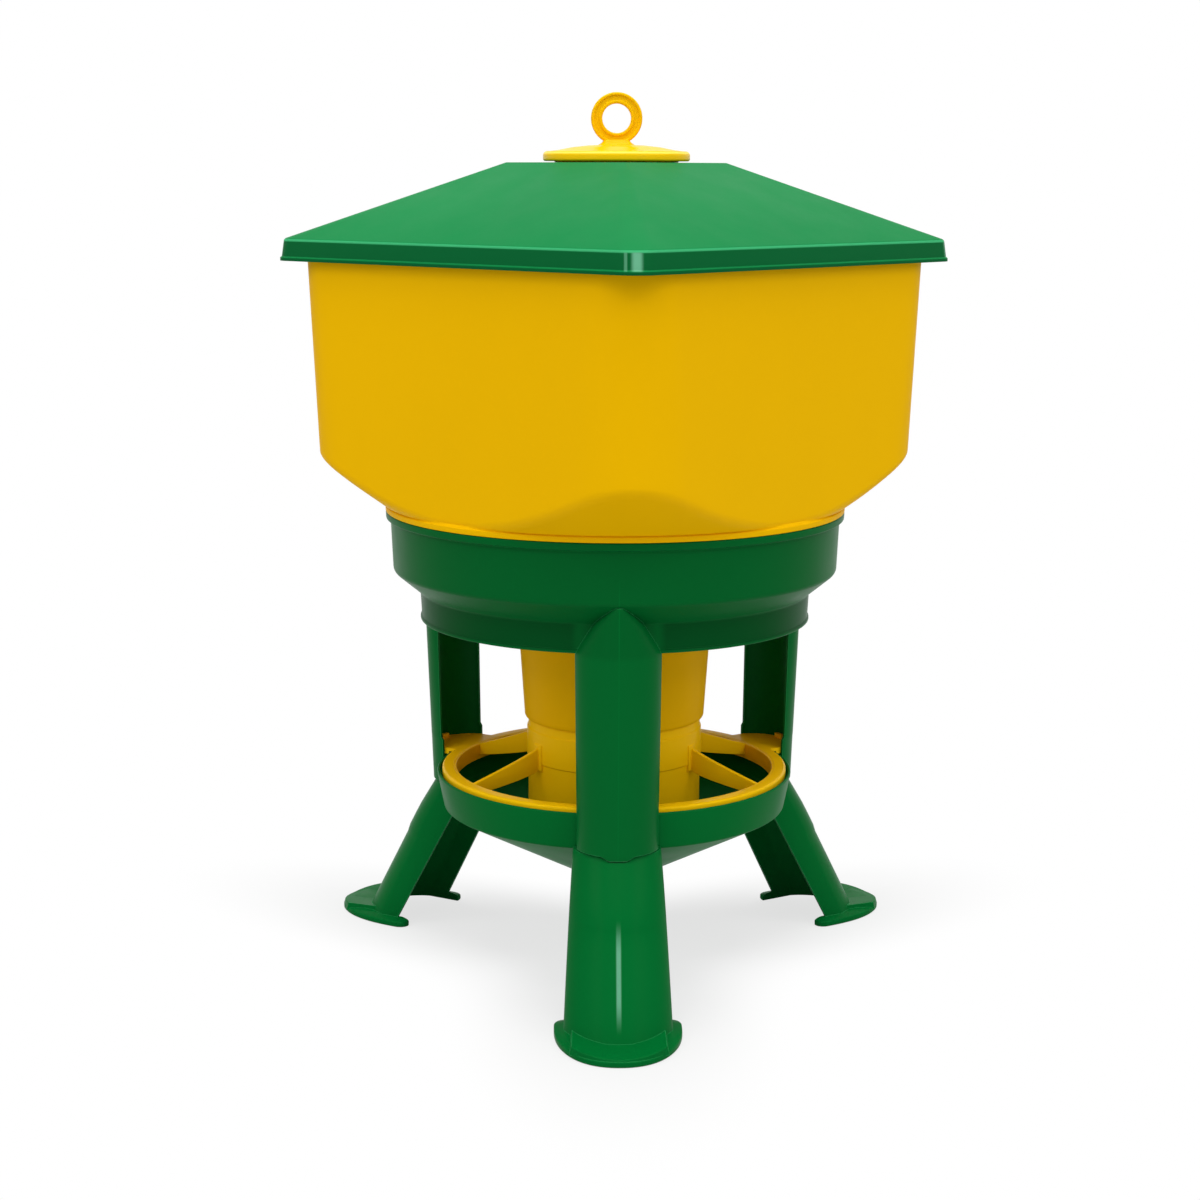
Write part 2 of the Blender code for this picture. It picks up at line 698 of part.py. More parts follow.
def spoke_pad():
    """Upright rib on the sleeve that backs a spoke."""
    low, high = SPOKE_ROOT_Z
    root = SLEEVE_RADIUS + SLEEVE_STEP
    outline = [
        (root - 0.0022, low - 0.0030),
        (root + 0.0012, low - 0.0020),
        (root + 0.0012, high + 0.0010),
        (root - 0.0022, high + 0.0040),
    ]
    return blade("grill_pad", outline, 0.0140)


def box(name, x, y, z):
    corners = [(x[0], y[0]), (x[1], y[0]), (x[1], y[1]), (x[0], y[1])]
    return lofted(name, [[(*corner, level) for corner in corners] for level in z])


def lug_outline(inset, near, z):
    """Half-round outline that follows a leg's channel from the ring outwards."""
    share = (z - LEG_JOINT_Z) / (COLLAR_NECK_BOTTOM[1] - LEG_JOINT_Z)
    crest, edge = between(LEG_CREST, share), between(LEG_EDGE, share)
    half = between(LEG_HALF_WIDTH, share)
    ring = channel_ring(z, crest, edge, half, crest - edge, LEG_WALL + inset)
    return [*ring[:-2], (near, ring[-2][1], z), (near, ring[-1][1], z)]


def lug():
    """Half-round shelf that rides in a leg's channel, with a skirt below and a tab on its nose."""
    top = GRILL_TOP_Z
    low = top - 0.0062
    near = GRILL_RADIUS - 0.0060
    shelf = [lug_outline(LUG_GAP, near, z) for z in (low, top)]
    body = lofted("grill_lug", shelf)
    levels = (low - 0.01, top - GRILL_WALL)
    room = [lug_outline(LUG_GAP + GRILL_WALL, PAN_RADIUS - 0.012, z) for z in levels]
    combine(body, lofted("grill_lug_room", room), "DIFFERENCE")
    clear_r, clear_z = PAN_RADIUS + 2 * SLIDE_GAP, PAN_RIM_Z + 2 * GAP
    pan = [(0, 0), (clear_r, 0), (clear_r, clear_z), (0, clear_z)]
    combine(body, turned("grill_lug_pan", pan, ROUND_STEPS), "DIFFERENCE")
    half, height = LUG_TAB
    nose = between(LEG_CREST, 0.2) - LEG_WALL - LUG_GAP
    depth = (nose - 0.0060, nose - 0.0014)
    tab = box("grill_lug_tab", depth, (-half, half), (top - 0.001, top + height))
    return combine(body, tab, "UNION")


def baked(obj):
    """Fixes a helper's modifiers into its mesh, so that its copies carry them."""
    bpy.context.view_layer.update()
    graph = bpy.context.evaluated_depsgraph_get()
    mesh = bpy.data.meshes.new_from_object(obj.evaluated_get(graph))
    obj.modifiers.clear()
    obj.data = mesh
    return obj


def feed_grill(material):
    """Ring, sleeve, spokes and three lugs as one moulding."""
    obj = grill_ring(material)
    for part in spun_copies(baked(lug()), LEG_COUNT, -pi / 2):
        combine(obj, part, "UNION")
    combine(obj, sleeve(), "UNION")
    for part in spun_copies(spoke(), SPOKE_COUNT, pi / 2):
        combine(obj, part, "UNION")
    for part in spun_copies(spoke_pad(), SPOKE_COUNT, pi / 2):
        combine(obj, part, "UNION")
    return obj


def foot_crest(z):
    """Radius of the lower leg's web, with the raised shoulder under the joint."""
    crest = FOOT_CREST[0] + (FOOT_CREST[1] - z) * FOOT_SPLAY
    if z > FOOT_SHOULDER_Z - 0.001:
        crest += 0.0016
    joint = LEG_JOINT_Z - z
    if joint < 0.03:
        crest -= 0.0030 * (1 - joint / 0.03)
    return crest


def foot_rings(inset):
    """Sections of a lower leg from the joint down to the floor."""
    top = LEG_JOINT_Z + LEG_JOINT_STEP + 0.002
    levels = [top, 0.147, 0.130, FOOT_SHOULDER_Z, FOOT_SHOULDER_Z - 0.006, 0.055, 0.0]
    if inset:
        levels = [top + 0.02, *levels[1:-1], -0.01]
    rings = []
    for z in levels:
        share = 1 - z / top
        half = between(FOOT_HALF_WIDTH, share**0.8 if share > 0 else share)
        edge = FOOT_EDGE[0] + (FOOT_EDGE[1] - z) * FOOT_SPLAY
        crest = foot_crest(z)
        depth = between((0.031, 0.038), share)
        rings.append(channel_ring(z, crest, edge, half, depth, inset))
    return rings


def pad_outline(radius, back, half, z):
    """D-shaped outline of a foot pad, round towards the outside."""
    points = [
        (PAD_CENTRE + radius * cos(a), radius * sin(a), z)
        for a in (pi * (k / 14 - 0.5) for k in range(15))
    ]
    round_back = [
        (back + PAD_CORNER * (1 - sin(a)), half - PAD_CORNER * (1 - cos(a)), z)
        for a in (pi / 6 * k for k in range(4))
    ]
    return [*points, *round_back, *[(x, -y, z) for x, y, _ in reversed(round_back)]]


def foot_pad():
    """Flat pad with a softened upper edge and a raised band before the web."""
    radius = PAD_RADIUS
    pad = lofted(
        "foot_pad",
        [
            pad_outline(radius - 0.0010, PAD_BACK, radius - 0.0010, 0),
            pad_outline(radius, PAD_BACK - 0.0005, radius, 0.0012),
            pad_outline(radius, PAD_BACK - 0.0005, radius, PAD_THICKNESS - 0.0014),
            pad_outline(radius - 0.0016, PAD_BACK + 0.0012, radius - 0.0016, PAD_THICKNESS),
        ],
    )
    band = lofted(
        "foot_band",
        [
            crescent(radius - 0.0012, PAD_BAND_REACH, PAD_THICKNESS - 0.002),
            crescent(radius - 0.0016, PAD_BAND_REACH, PAD_BAND_TOP - 0.0010),
            crescent(radius - 0.0028, PAD_BAND_REACH - 0.01, PAD_BAND_TOP),
        ],
    )
    return pad, band


def crescent(radius, half_angle, z):
    arc = [
        (PAD_CENTRE + radius * cos(a), radius * sin(a), z)
        for a in (half_angle * (k / 6 - 1) for k in range(13))
    ]
    tip = arc[-1]
    return [*arc, (PAD_CENTRE - 0.01, tip[1], z), (PAD_CENTRE - 0.01, -tip[1], z)]


def tongue():
    """Curved tongue that pushes up inside the upper leg's web."""
    fit = LEG_CREST[0] - LEG_WALL - SLIDE_GAP
    half = LEG_HALF_WIDTH[0] * 0.62
    radius = LEG_HALF_WIDTH[0] - LEG_WALL - SLIDE_GAP
    root_z = LEG_JOINT_Z - 0.012
    rings = []
    for z, crest, shrink in (
        (root_z, foot_crest(root_z) - LEG_WALL + 0.0016, 0.0),
        (LEG_JOINT_Z - 0.0035, fit, 0.0),
        (LEG_JOINT_Z + TONGUE_HEIGHT - 0.004, fit, 0.0),
        (LEG_JOINT_Z + TONGUE_HEIGHT, fit, 0.0030),
    ):
        reach = asin(half / radius) - shrink * 10
        outer = [
            (crest - radius + radius * cos(a), radius * sin(a), z)
            for a in (reach * (k / 4 - 1) for k in range(9))
        ]
        inner = [
            (crest - radius + (radius - 0.0026) * cos(a), (radius - 0.0026) * sin(a), z)
            for a in (reach * (1 - k / 4) for k in range(9))
        ]
        rings.append(outer + inner)
    return lofted("foot_tongue", rings)


def pan_seat_cutter():
    """The pan's outer form plus the fit gap, with all the room above it."""
    band_r, band_z, valley_z = pan_outline(GAP)
    outline = [
        (0, valley_z),
        (PAN_VALLEY_RADIUS, valley_z),
        (band_r, band_z),
        (PAN_RADIUS + GAP, PAN_RIM_Z),
        (PAN_RADIUS + GAP, PAN_RIM_Z + 0.05),
        (0, PAN_RIM_Z + 0.05),
    ]
    return turned("pan_seat", outline, ROUND_STEPS)


def lower_leg_shape():
    """Splayed channel with its pad, crescent band and tongue, pointing to +X."""
    leg = lofted("lower_leg", foot_rings(0))
    far_z = LEG_JOINT_Z + 0.02
    combine(leg, joint_cutter("lower_leg_end", -GAP, far_z), "DIFFERENCE")
    pad, band = foot_pad()
    combine(leg, pad, "UNION")
    combine(leg, band, "UNION")
    combine(leg, lofted("lower_leg_void", foot_rings(LEG_WALL)), "DIFFERENCE")
    combine(leg, tongue(), "UNION")
    combine(leg, pan_seat_cutter(), "DIFFERENCE")
    return baked(leg)


def lower_legs(material):
    legs = spun_copies(lower_leg_shape(), LEG_COUNT, -pi / 2)
    for leg, side in zip(legs, ("front", "right", "left")):
        leg.name = "lower_leg_" + side
        leg.data.name = leg.name
        leg.data.materials.clear()
        leg.data.materials.append(material)
    return legs


def parent_to(obj, empty_name, z):
    """Puts an empty on the piece's vertical slide axis and parents the piece to it."""
    empty = bpy.data.objects.new(empty_name, None)
    empty.empty_display_size = 0.05
    empty.location = (0, 0, z)
    bpy.context.scene.collection.objects.link(empty)
    obj.parent = empty
    obj.matrix_parent_inverse = Matrix.Translation((0, 0, -z))
    return empty


def main():
    clear_scene()
    stand_collar(plastic("green_stand", GREEN, 0.30))
    trough_pan(plastic("green_pan", GREEN, 0.33))
    lower_legs(plastic("green_leg", GREEN, 0.30))
    tub = hopper(plastic("yellow_hopper", YELLOW, 0.34))
    lid = roof_lid(plastic("green_roof", GREEN_ROOF, 0.38))
    cap = filler_cap(plastic("yellow_cap", YELLOW_LIGHT, 0.28))
    grill = feed_grill(plastic("yellow_grill", YELLOW_LIGHT, 0.30))
    for obj, name, z in (
        (tub, "hopper_lift", COLLAR_TOP_Z),
        (lid, "lid_lift", HOPPER_TOP_Z),
        (cap, "cap_lift", LID_TOP_Z),
    ):
        parent_to(obj, name, z).rotation_euler = (0, 0, HOPPER_TURN)
    parent_to(grill, "grill_lift", PAN_RIM_Z)
    bpy.context.view_layer.update()


if __name__ == "__main__":
    main()
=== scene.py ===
"""Poultry feeder on legs: the finished look of every moulding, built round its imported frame.

Laid out as an add-on and run as a script. Metres, +Z up, floor at Z = 0, the front leg points to -Y.
"""

from math import asin, atan2, cos, pi, radians, sin, sqrt, tan

import bmesh
import bpy
from bpy.props import FloatProperty, FloatVectorProperty, PointerProperty
from mathutils import Matrix, Vector


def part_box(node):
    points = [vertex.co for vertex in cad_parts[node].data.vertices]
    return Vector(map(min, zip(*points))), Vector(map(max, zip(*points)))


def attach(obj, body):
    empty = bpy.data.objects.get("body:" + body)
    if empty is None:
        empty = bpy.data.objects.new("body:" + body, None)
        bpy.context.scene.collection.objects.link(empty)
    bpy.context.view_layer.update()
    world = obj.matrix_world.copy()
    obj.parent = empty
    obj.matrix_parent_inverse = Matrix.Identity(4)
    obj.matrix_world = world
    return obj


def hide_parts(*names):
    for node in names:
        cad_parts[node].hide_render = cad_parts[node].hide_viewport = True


bl_info = {
    "name": "Poultry feeder on legs",
    "version": (1, 0, 0),
    "blender": (4, 5, 0),
    "location": "3D View > Sidebar > Feeder",
    "description": "Models the mouldings of a roofed poultry feeder on three legs",
    "category": "Add Mesh",
}

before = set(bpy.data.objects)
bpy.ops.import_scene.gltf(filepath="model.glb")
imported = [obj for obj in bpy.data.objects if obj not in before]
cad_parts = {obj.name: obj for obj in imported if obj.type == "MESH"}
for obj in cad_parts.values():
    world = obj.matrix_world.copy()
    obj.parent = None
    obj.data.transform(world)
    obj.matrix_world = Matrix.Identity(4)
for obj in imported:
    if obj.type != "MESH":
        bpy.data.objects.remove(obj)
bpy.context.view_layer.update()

# Places read from the frame
PAN_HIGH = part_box("trough_pan")[1]
GRILL_LOW, GRILL_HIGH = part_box("feed_grill")
LID_LOW, LID_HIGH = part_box("roof_lid")
CAP_LOW, CAP_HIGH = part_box("filler_cap")
HOPPER_LOW, HOPPER_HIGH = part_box("hopper")
COLLAR_LOW, COLLAR_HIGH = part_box("stand_collar")

# Fits and walls
GAP = 0.0003
WALL = 0.0026
SQUARE_TURN = radians(2.0)  # the square hopper sits turned this much in the round collar
LEGS = {"front": -pi / 2, "right": pi / 6, "left": 5 * pi / 6}

# Roof lid
SKIRT_TOP = 0.0211  # height of the upright skirt
ROOF_TOP_HALF = 0.0780
FILLER_RADIUS = 0.058
SEAT_RADIUS = 0.0603  # ring under the cap's rim that sits on the roof
PLUG_CLEARANCE = 0.0006
CAP_RIM_UNDER = 0.0011  # underside and top of the cap's rim above its seat
CAP_RIM_TOP = 0.0104
CAP_DOME = 0.0068
CAP_WALL = 0.0024

# Hopper
TUB_BOTTOM_HALF = 0.2256
TUB_BOTTOM_CORNER = 0.070
NECK_RADIUS = 0.2284
NECK_TOP_Z = 0.467
CONE_SLOPE = 0.724  # rise per unit of radius
FOLD_SOFTNESS = 0.0085
SPIGOT = (0.2174, 0.438)
TUBE_TOP = (0.0965, 0.336)
TUBE_END_RADIUS = 0.0906

# Stand collar
COLLAR_LIP_RADIUS = 0.2284
COLLAR_LIP_HEIGHT = 0.0068
BAND_BOTTOM = (0.2214, 0.4015)
NECK_TOP = (0.1949, 0.3797)
NECK_BOTTOM = (0.1935, 0.3512)
LEG_HALF_WIDTH = (0.0385, 0.0405)
LEG_CREST = (0.2120, 0.2205)
LEG_EDGE = (0.1823, 0.1860)
LEG_EDGE_STEP_Z = 0.206
LEG_WALL = 0.0028
JOINT_STEP = 0.0038  # the joint line rises this much from the web's middle to the walls
JOINT_STEP_AT = (0.0075, 0.0175)
JOINT_SHOWS = 0.0014  # the gap that shows as a dark line between upper and lower leg

# Lower legs
FOOT_SPLAY = 0.548
FOOT_CREST = (0.2638, 0.061)
FOOT_EDGE = (0.2118, 0.050)
FOOT_HALF_WIDTH = (0.0410, 0.0512)
FOOT_DEPTH = (0.031, 0.038)  # of the channel, at the joint and at the floor
FOOT_SHOULDER_Z = 0.104
PAD_CENTRE = 0.240  # where a pad's straight sides give way to its round front
PAD_FULLNESS = 2.22
PAD_BACK = 0.222
PAD_CORNER = (0.011, 0.008)
PAD_INNER_Z = 0.0085
BAND_HALF = 0.0435
BAND_TOP = (0.0076, 0.0112)  # at the middle and at both ends
BAND_LEAN = 0.0030  # how far the steps at the band's ends lean outwards

# Trough pan
PAN_TAPER = 0.0069  # the band's radius at its foot is this much less than at the rim
PAN_LEDGE_DROP = 0.0052  # from the rim down to the ledge that carries the grill
PAN_LEDGE_WIDTH = 0.0052
PAN_VALLEY_RADIUS = 0.046
PAN_FLOOR_SLOPE = 0.525
PAN_SPREADER_Z = 0.150

# Feed grill
GRILL_TOP = 0.1975
GRILL_INSET = 0.0052  # the ring's outer edge is this far inside the pan's rim
GRILL_WALL = 0.0022
SLEEVE_CLEARANCE = 0.0009  # between the sleeve and the inside of the feed tube
SLEEVE_STEP = 0.0012
SLEEVE_SHOULDER = 0.0093  # the sleeve's shoulder is this far under the feed tube
LUG_GAP = 0.0012
SPOKE_COUNT = 6
SPOKE_ROOT_Z = (0.203, 0.2255)
SPOKE_TIP_HEIGHT = 0.0125
SLEEVE_STEP_Z = 0.207

# Studio
WORLD_FILL = 0.34
LIGHTS = (  # name, place, where it points, size, watts
    ("top", (0.0, -0.2, 3.3), (0, 0, 0.5), (2.2, 2.2), 75),
    ("front", (0.0, -2.5, 3.0), (0, 0, 0.45), (2.6, 1.4), 24),
    ("left", (-2.5, -1.4, 2.5), (0, 0, 0.45), (1.6, 1.6), 26),
    ("right", (2.5, -1.4, 2.5), (0, 0, 0.45), (1.6, 1.6), 26),
    ("strip_left", (-1.9, -2.4, 1.2), (0, 0, 0.45), (0.06, 1.6), 5),
    ("strip_right", (1.9, -2.4, 1.2), (0, 0, 0.45), (0.06, 1.6), 5),
)
FLOOR_LOBES = 0.45  # how far the kept shadow reaches out along the legs
FLOOR_GLOW = (0.70, 1.0)  # share of plain white near the feeder and away from it
FLOOR_FADE = (0.10, 0.32)
FLOOR_BACK = (-0.12, 0.26)  # towards the back the floor turns plain white from here to here

# Further tones: the grill's own yellow, and painted highlights and painted light for edges, folds, corners
# and the cap's side
GREEN_EDGE_HIGHLIGHT = (0.030, 0.300, 0.095)
GREEN_SHINE = (0.160, 0.480, 0.290)
ROOF_FOLD_HIGHLIGHT = (0.045, 0.390, 0.150)
CAP_SIDE_PAINTED_LIGHT = (1.0, 0.59, 0.004)
CAP_SHINE = (1.0, 0.72, 0.10)
GRILL_YELLOW = (1.0, 0.585, 0.002)
EDGE_HIGHLIGHT_WIDTH = 0.0016  # of the painted highlight along an edge

ROUND_STEPS = 144
SMALL_STEPS = 96


def length(name, default, text):
    return FloatProperty(
        name=name, description=text, default=default, min=0.0001, unit="LENGTH", precision=4
    )


def colour(name, default, text):
    return FloatVectorProperty(
        name=name, description=text, default=default, min=0.0, max=1.0, subtype="COLOR"
    )


class FeederRoofSizes(bpy.types.PropertyGroup):
    half_side: length("Half side", 0.2380, "From the middle of the roof to the middle of an eave")
    corner: length("Corner radius", 0.022, "Rounding of the roof's four corners in plan")
    wall: length("Wall", 0.0025, "Thickness of the roof's sheet")
    cap_radius: length("Cap radius", 0.0715, "Radius of the filler cap's rim")
    ring_outer: length("Ring radius", 0.0249, "Outer radius of the finger ring")
    ring_inner: length("Ring hole radius", 0.0140, "Radius of the hole in the finger ring")


class FeederHopperSizes(bpy.types.PropertyGroup):
    half_side: length("Half side at the mouth", 0.2280, "From the middle of the tub to a side, at the top")
    corner: length("Corner radius at the mouth", 0.050, "Rounding of the tub's upright corners, at the top")
    tube_radius: length("Tube radius", TUBE_END_RADIUS, "Radius of the feed tube at its lower end")


class FeederStandSizes(bpy.types.PropertyGroup):
    collar_radius: length("Collar radius", 0.2236, "Radius of the collar's tall band")
    leg_wall: length("Leg wall", LEG_WALL, "Thickness of the legs' channel")
    pad_half_width: length("Pad half width", 0.0600, "From the middle of a foot pad to its side")
    pad_reach: length("Pad reach", 0.0883, "Length of a foot pad's round front")
    pad_thickness: length("Pad thickness", 0.0055, "Thickness of a foot pad at its edge")


class FeederPanSizes(bpy.types.PropertyGroup):
    radius: length("Pan radius", PAN_HIGH.x, "Radius of the trough pan at its rim")
    band: length("Pan band", 0.0365, "Height of the pan's upright band")
    ring_width: length("Ring width", 0.0143, "Width of the grill's top ring")
    sleeve_radius: length("Sleeve radius", 0.0872, "Radius of the grill's sleeve")
    spoke_thickness: length("Spoke thickness", 0.0044, "Thickness of a grill spoke")


class FeederColours(bpy.types.PropertyGroup):
    stand_green: colour("Stand green", (0.0003, 0.112, 0.020), "Plastic of the collar, legs and pan")
    roof_green: colour("Roof green", (0.004, 0.180, 0.046), "Plastic of the roof")
    hopper_yellow: colour("Hopper yellow", (0.86, 0.475, 0.0), "Plastic of the hopper")
    trim_yellow: colour("Trim yellow", (0.95, 0.55, 0.001), "Plastic of the cap")
    floor_white: colour("Floor", (0.62, 0.62, 0.62), "Paint of the studio floor")


# Modelling helpers


def start_fresh():
    """Leaves edit mode with nothing selected, so that an operator acts on its own piece only."""
    if bpy.context.mode != "OBJECT":
        bpy.ops.object.mode_set(mode="OBJECT")
    bpy.ops.object.select_all(action="DESELECT")


def take(obj):
    start_fresh()
    obj.select_set(True)
    bpy.context.view_layer.objects.active = obj
    return obj


def named(name):
    """Names the object that a primitive has just added."""
    obj = bpy.context.object
    obj.name = name
    obj.data.name = name
    return obj


def edit_all(obj):
    take(obj)
    bpy.ops.object.mode_set(mode="EDIT")
    bpy.ops.mesh.select_all(action="SELECT")


def closed_up(obj):
    """Merges doubled points and turns the faces outwards."""
    edit_all(obj)
    bpy.ops.mesh.remove_doubles(threshold=0.000002)
    bpy.ops.mesh.normals_make_consistent(inside=False)
    bpy.ops.object.mode_set(mode="OBJECT")
    return obj


def between(pair, share):
    return pair[0] + (pair[1] - pair[0]) * share


def rounded(points, radii, steps=5):
    """Rounds the corners of an outline with arcs; a radius of 0 keeps a corner or an end."""
    result = []
    count = len(points)
    for index, radius in enumerate(radii):
        here = Vector(points[index])
        if radius <= 0:
            result.append(tuple(here))
            continue
        before = Vector(points[index - 1]) - here
        after = Vector(points[(index + 1) % count]) - here
        half = before.angle(after) / 2
        reach = min(radius / tan(half), 0.48 * before.length, 0.48 * after.length)
        middle = (before.normalized() + after.normalized()).normalized()
        centre = here + middle * (reach / cos(half))
        start = here + before.normalized() * reach - centre
        end = here + after.normalized() * reach - centre
        sweep = start.angle_signed(end)
        for step in range(steps + 1):
            arm = start.copy()
            arm.rotate(Matrix.Rotation(-sweep * step / steps, 2))
            result.append(tuple(centre + arm))
    return result


def turned(name, outline, steps=ROUND_STEPS):
    """Draws an outline of (radius, height) points and spins it round the Z axis."""
    start_fresh()
    bpy.ops.mesh.primitive_plane_add(size=0.001, location=(0, 0, 0))
    obj = named(name)
    bpy.ops.object.mode_set(mode="EDIT")
    bpy.ops.mesh.merge(type="CENTER")
    bpy.ops.transform.translate(value=(outline[0][0], 0, outline[0][1]))
    ends = outline[1:]
    if outline[0][0] > 0 or outline[-1][0] > 0:
        ends = [*ends, outline[0]]
    radius, height = outline[0]
    for next_radius, next_height in ends:
        step = (next_radius - radius, 0, next_height - height)
        bpy.ops.mesh.extrude_vertices_move(TRANSFORM_OT_translate={"value": step})
        radius, height = next_radius, next_height
    bpy.ops.mesh.select_all(action="SELECT")
    bpy.ops.mesh.remove_doubles(threshold=0.000002)
    bpy.ops.mesh.spin(steps=steps, angle=2 * pi, center=(0, 0, 0), axis=(0, 0, 1))
    return closed_up(obj)


def loft(name, rings, capped=True):
    """Extrudes a circle once for every further ring and lays the points of each ring in place."""
    count = len(rings[0])
    start_fresh()
    bpy.ops.mesh.primitive_circle_add(vertices=count, radius=1)
    obj = named(name)
    bpy.ops.object.mode_set(mode="EDIT")
    for _ in rings[1:]:
        bpy.ops.mesh.extrude_edges_move(TRANSFORM_OT_translate={"value": (0, 0, 1)})
    mesh = bmesh.from_edit_mesh(obj.data)
    for vert in mesh.verts:
        turn = (atan2(vert.co.y, vert.co.x) / (2 * pi) - 0.25) * count
        vert.co = rings[round(vert.co.z)][round(turn) % count]
    bmesh.update_edit_mesh(obj.data)
    if capped:
        bpy.ops.mesh.select_all(action="DESELECT")
        bpy.ops.mesh.select_non_manifold(extend=False)
        bpy.ops.mesh.fill_holes(sides=0)
    return closed_up(obj)


def combined(obj, other, operation="UNION"):
    """Joins or cuts with an exact Boolean and applies it; the other piece is used up."""
    take(obj)
    modifier = obj.modifiers.new(operation, "BOOLEAN")
    modifier.operation = operation
    modifier.solver = "EXACT"
    modifier.object = other
    bpy.ops.object.modifier_apply(modifier=modifier.name)
    bpy.data.objects.remove(other, do_unlink=True)
    return obj


def turned_copies(obj, angles):
    """Copies a piece, each copy with its own mesh, and turns each about the Z axis."""
    copies = []
    for angle in angles:
        copy = obj.copy()
        copy.data = obj.data.copy()
        bpy.context.scene.collection.objects.link(copy)
        copy.data.transform(Matrix.Rotation(angle, 4, "Z"))
        copies.append(copy)
    bpy.data.objects.remove(obj, do_unlink=True)
    return copies


def with_wall(obj, wall):
    """Gives a skin its thickness, inwards."""
    take(obj)
    solid = obj.modifiers.new("wall", "SOLIDIFY")
    solid.thickness = wall
    solid.offset = -1
    solid.use_even_offset = True
    solid.use_rim = True
    bpy.ops.object.modifier_apply(modifier=solid.name)
    return obj


def with_soft_edges(obj, width, angle=50, segments=2):
    take(obj)
    bevel = obj.modifiers.new("edge", "BEVEL")
    bevel.width = width
    bevel.segments = segments
    bevel.limit_method = "ANGLE"
    bevel.angle_limit = radians(angle)
    bevel.use_clamp_overlap = True
    bpy.ops.object.modifier_apply(modifier=bevel.name)
    return obj


def smoothed(obj, angle=32):
    take(obj)
    bpy.ops.object.shade_smooth_by_angle(angle=radians(angle))
    return obj


def handed_over(obj, body, nodes, material):
    """Paints a finished piece and seats it in the frame in place of its plain solids."""
    obj.data.materials.clear()
    obj.data.materials.append(bpy.data.materials[material])
    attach(obj, body)
    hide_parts(*nodes)
    return obj


# Materials


class NodeBench:
    """Adds and links the nodes of one material by short calls."""

    def __init__(self, name, tone):
        self.material = bpy.data.materials.new(name)
        self.material.use_nodes = True
        self.material.diffuse_color = (*tone, 1.0)
        tree = self.material.node_tree
        self.nodes, self.link = tree.nodes, tree.links.new
        self.shader = self.nodes["Principled BSDF"]
        self.place = self.nodes.new("ShaderNodeTexCoord").outputs["Object"]

    def put(self, socket, value):
        if isinstance(value, tuple):
            socket.default_value = (*value, 1.0)
        elif isinstance(value, (int, float)):
            socket.default_value = value
        else:
            self.link(value, socket)

    def maths(self, operation, *values):
        node = self.nodes.new("ShaderNodeMath")
        node.operation = operation
        for socket, value in zip(node.inputs, values):
            self.put(socket, value)
        return node.outputs[0]

    def spread(self, value, low, high, start=0.3, end=0.7, smooth=False):
        """Maps start..end of a value to low..high."""
        node = self.nodes.new("ShaderNodeMapRange")
        node.interpolation_type = "SMOOTHSTEP" if smooth else "LINEAR"
        names = ("Value", "From Min", "From Max", "To Min", "To Max")
        for name, entry in zip(names, (value, start, end, low, high)):
            self.put(node.inputs[name], entry)
        return node.outputs["Result"]

    def noise(self, scale, detail, stretch=(1, 1, 1)):
        mapping = self.nodes.new("ShaderNodeMapping")
        mapping.inputs["Scale"].default_value = stretch
        self.link(self.place, mapping.inputs["Vector"])
        texture = self.nodes.new("ShaderNodeTexNoise")
        texture.inputs["Scale"].default_value = scale
        texture.inputs["Detail"].default_value = detail
        self.link(mapping.outputs["Vector"], texture.inputs["Vector"])
        return texture.outputs["Fac"]

    def blend(self, factor, first, second):
        mix = self.nodes.new("ShaderNodeMix")
        mix.data_type = "RGBA"
        self.link(factor, mix.inputs["Factor"])
        self.put(mix.inputs["A"], first)
        self.put(mix.inputs["B"], second)
        return mix.outputs["Result"]

    def bump(self, height, strength, distance, normal=None):
        node = self.nodes.new("ShaderNodeBump")
        node.inputs["Strength"].default_value = strength
        node.inputs["Distance"].default_value = distance
        self.link(height, node.inputs["Height"])
        if normal:
            self.link(normal, node.inputs["Normal"])
        return node.outputs["Normal"]

    def axes(self):
        split = self.nodes.new("ShaderNodeSeparateXYZ")
        self.link(self.place, split.inputs[0])
        return split.outputs

    def seen_rays(self):
        """1 for rays that come from the camera, a reflection or a see-through piece."""
        rays = self.nodes.new("ShaderNodeLightPath").outputs
        near = self.maths("MAXIMUM", rays["Is Camera Ray"], rays["Is Glossy Ray"])
        return self.maths("MAXIMUM", near, rays["Is Transmission Ray"])


def scaled(tone, factor):
    return tuple(min(1.0, channel * factor) for channel in tone)


def moulded_plastic(name, tone, roughness, gloss, mottle=0.05, grain=0.00003):
    """Injection-moulded plastic: slow drifts of tone, patchy gloss and a fine skin."""
    bench = NodeBench(name, tone)
    flow = bench.spread(bench.noise(4.0, 3.0, (1, 1, 0.5)), 0, 1)
    drift = bench.blend(flow, scaled(tone, 1 - mottle), scaled(tone, 1 + mottle))
    speck = bench.spread(bench.noise(210.0, 2.0), 0, 0.5, 0.55, 0.75)
    bench.put(bench.shader.inputs["Base Color"], bench.blend(speck, drift, scaled(tone, 1 + mottle)))
    patches = bench.spread(bench.noise(22.0, 4.0), roughness - 0.03, roughness + 0.04)
    bench.put(bench.shader.inputs["Roughness"], patches)
    bench.shader.inputs["IOR"].default_value = 1.5
    bench.shader.inputs["Specular IOR Level"].default_value = gloss
    skin = bench.bump(bench.noise(900.0, 2.0), 0.35, grain)
    bench.put(bench.shader.inputs["Normal"], bench.bump(bench.noise(9.0, 1.0), 0.5, grain * 14, skin))
    return bench


def folded_distance(bench):
    """Distance from the nearest leg's middle plane, from the places of the three legs."""
    axes = bench.axes()
    turn = bench.maths("ADD", bench.maths("ARCTAN2", axes["Y"], axes["X"]), pi / 2)
    folded = bench.maths("WRAP", turn, pi / 3, -pi / 3)
    out = bench.maths("SQRT", bench.maths("ADD", square(bench, axes["X"]), square(bench, axes["Y"])))
    return bench.maths("ABSOLUTE", bench.maths("MULTIPLY", folded, out))


def square(bench, value):
    return bench.maths("MULTIPLY", value, value)


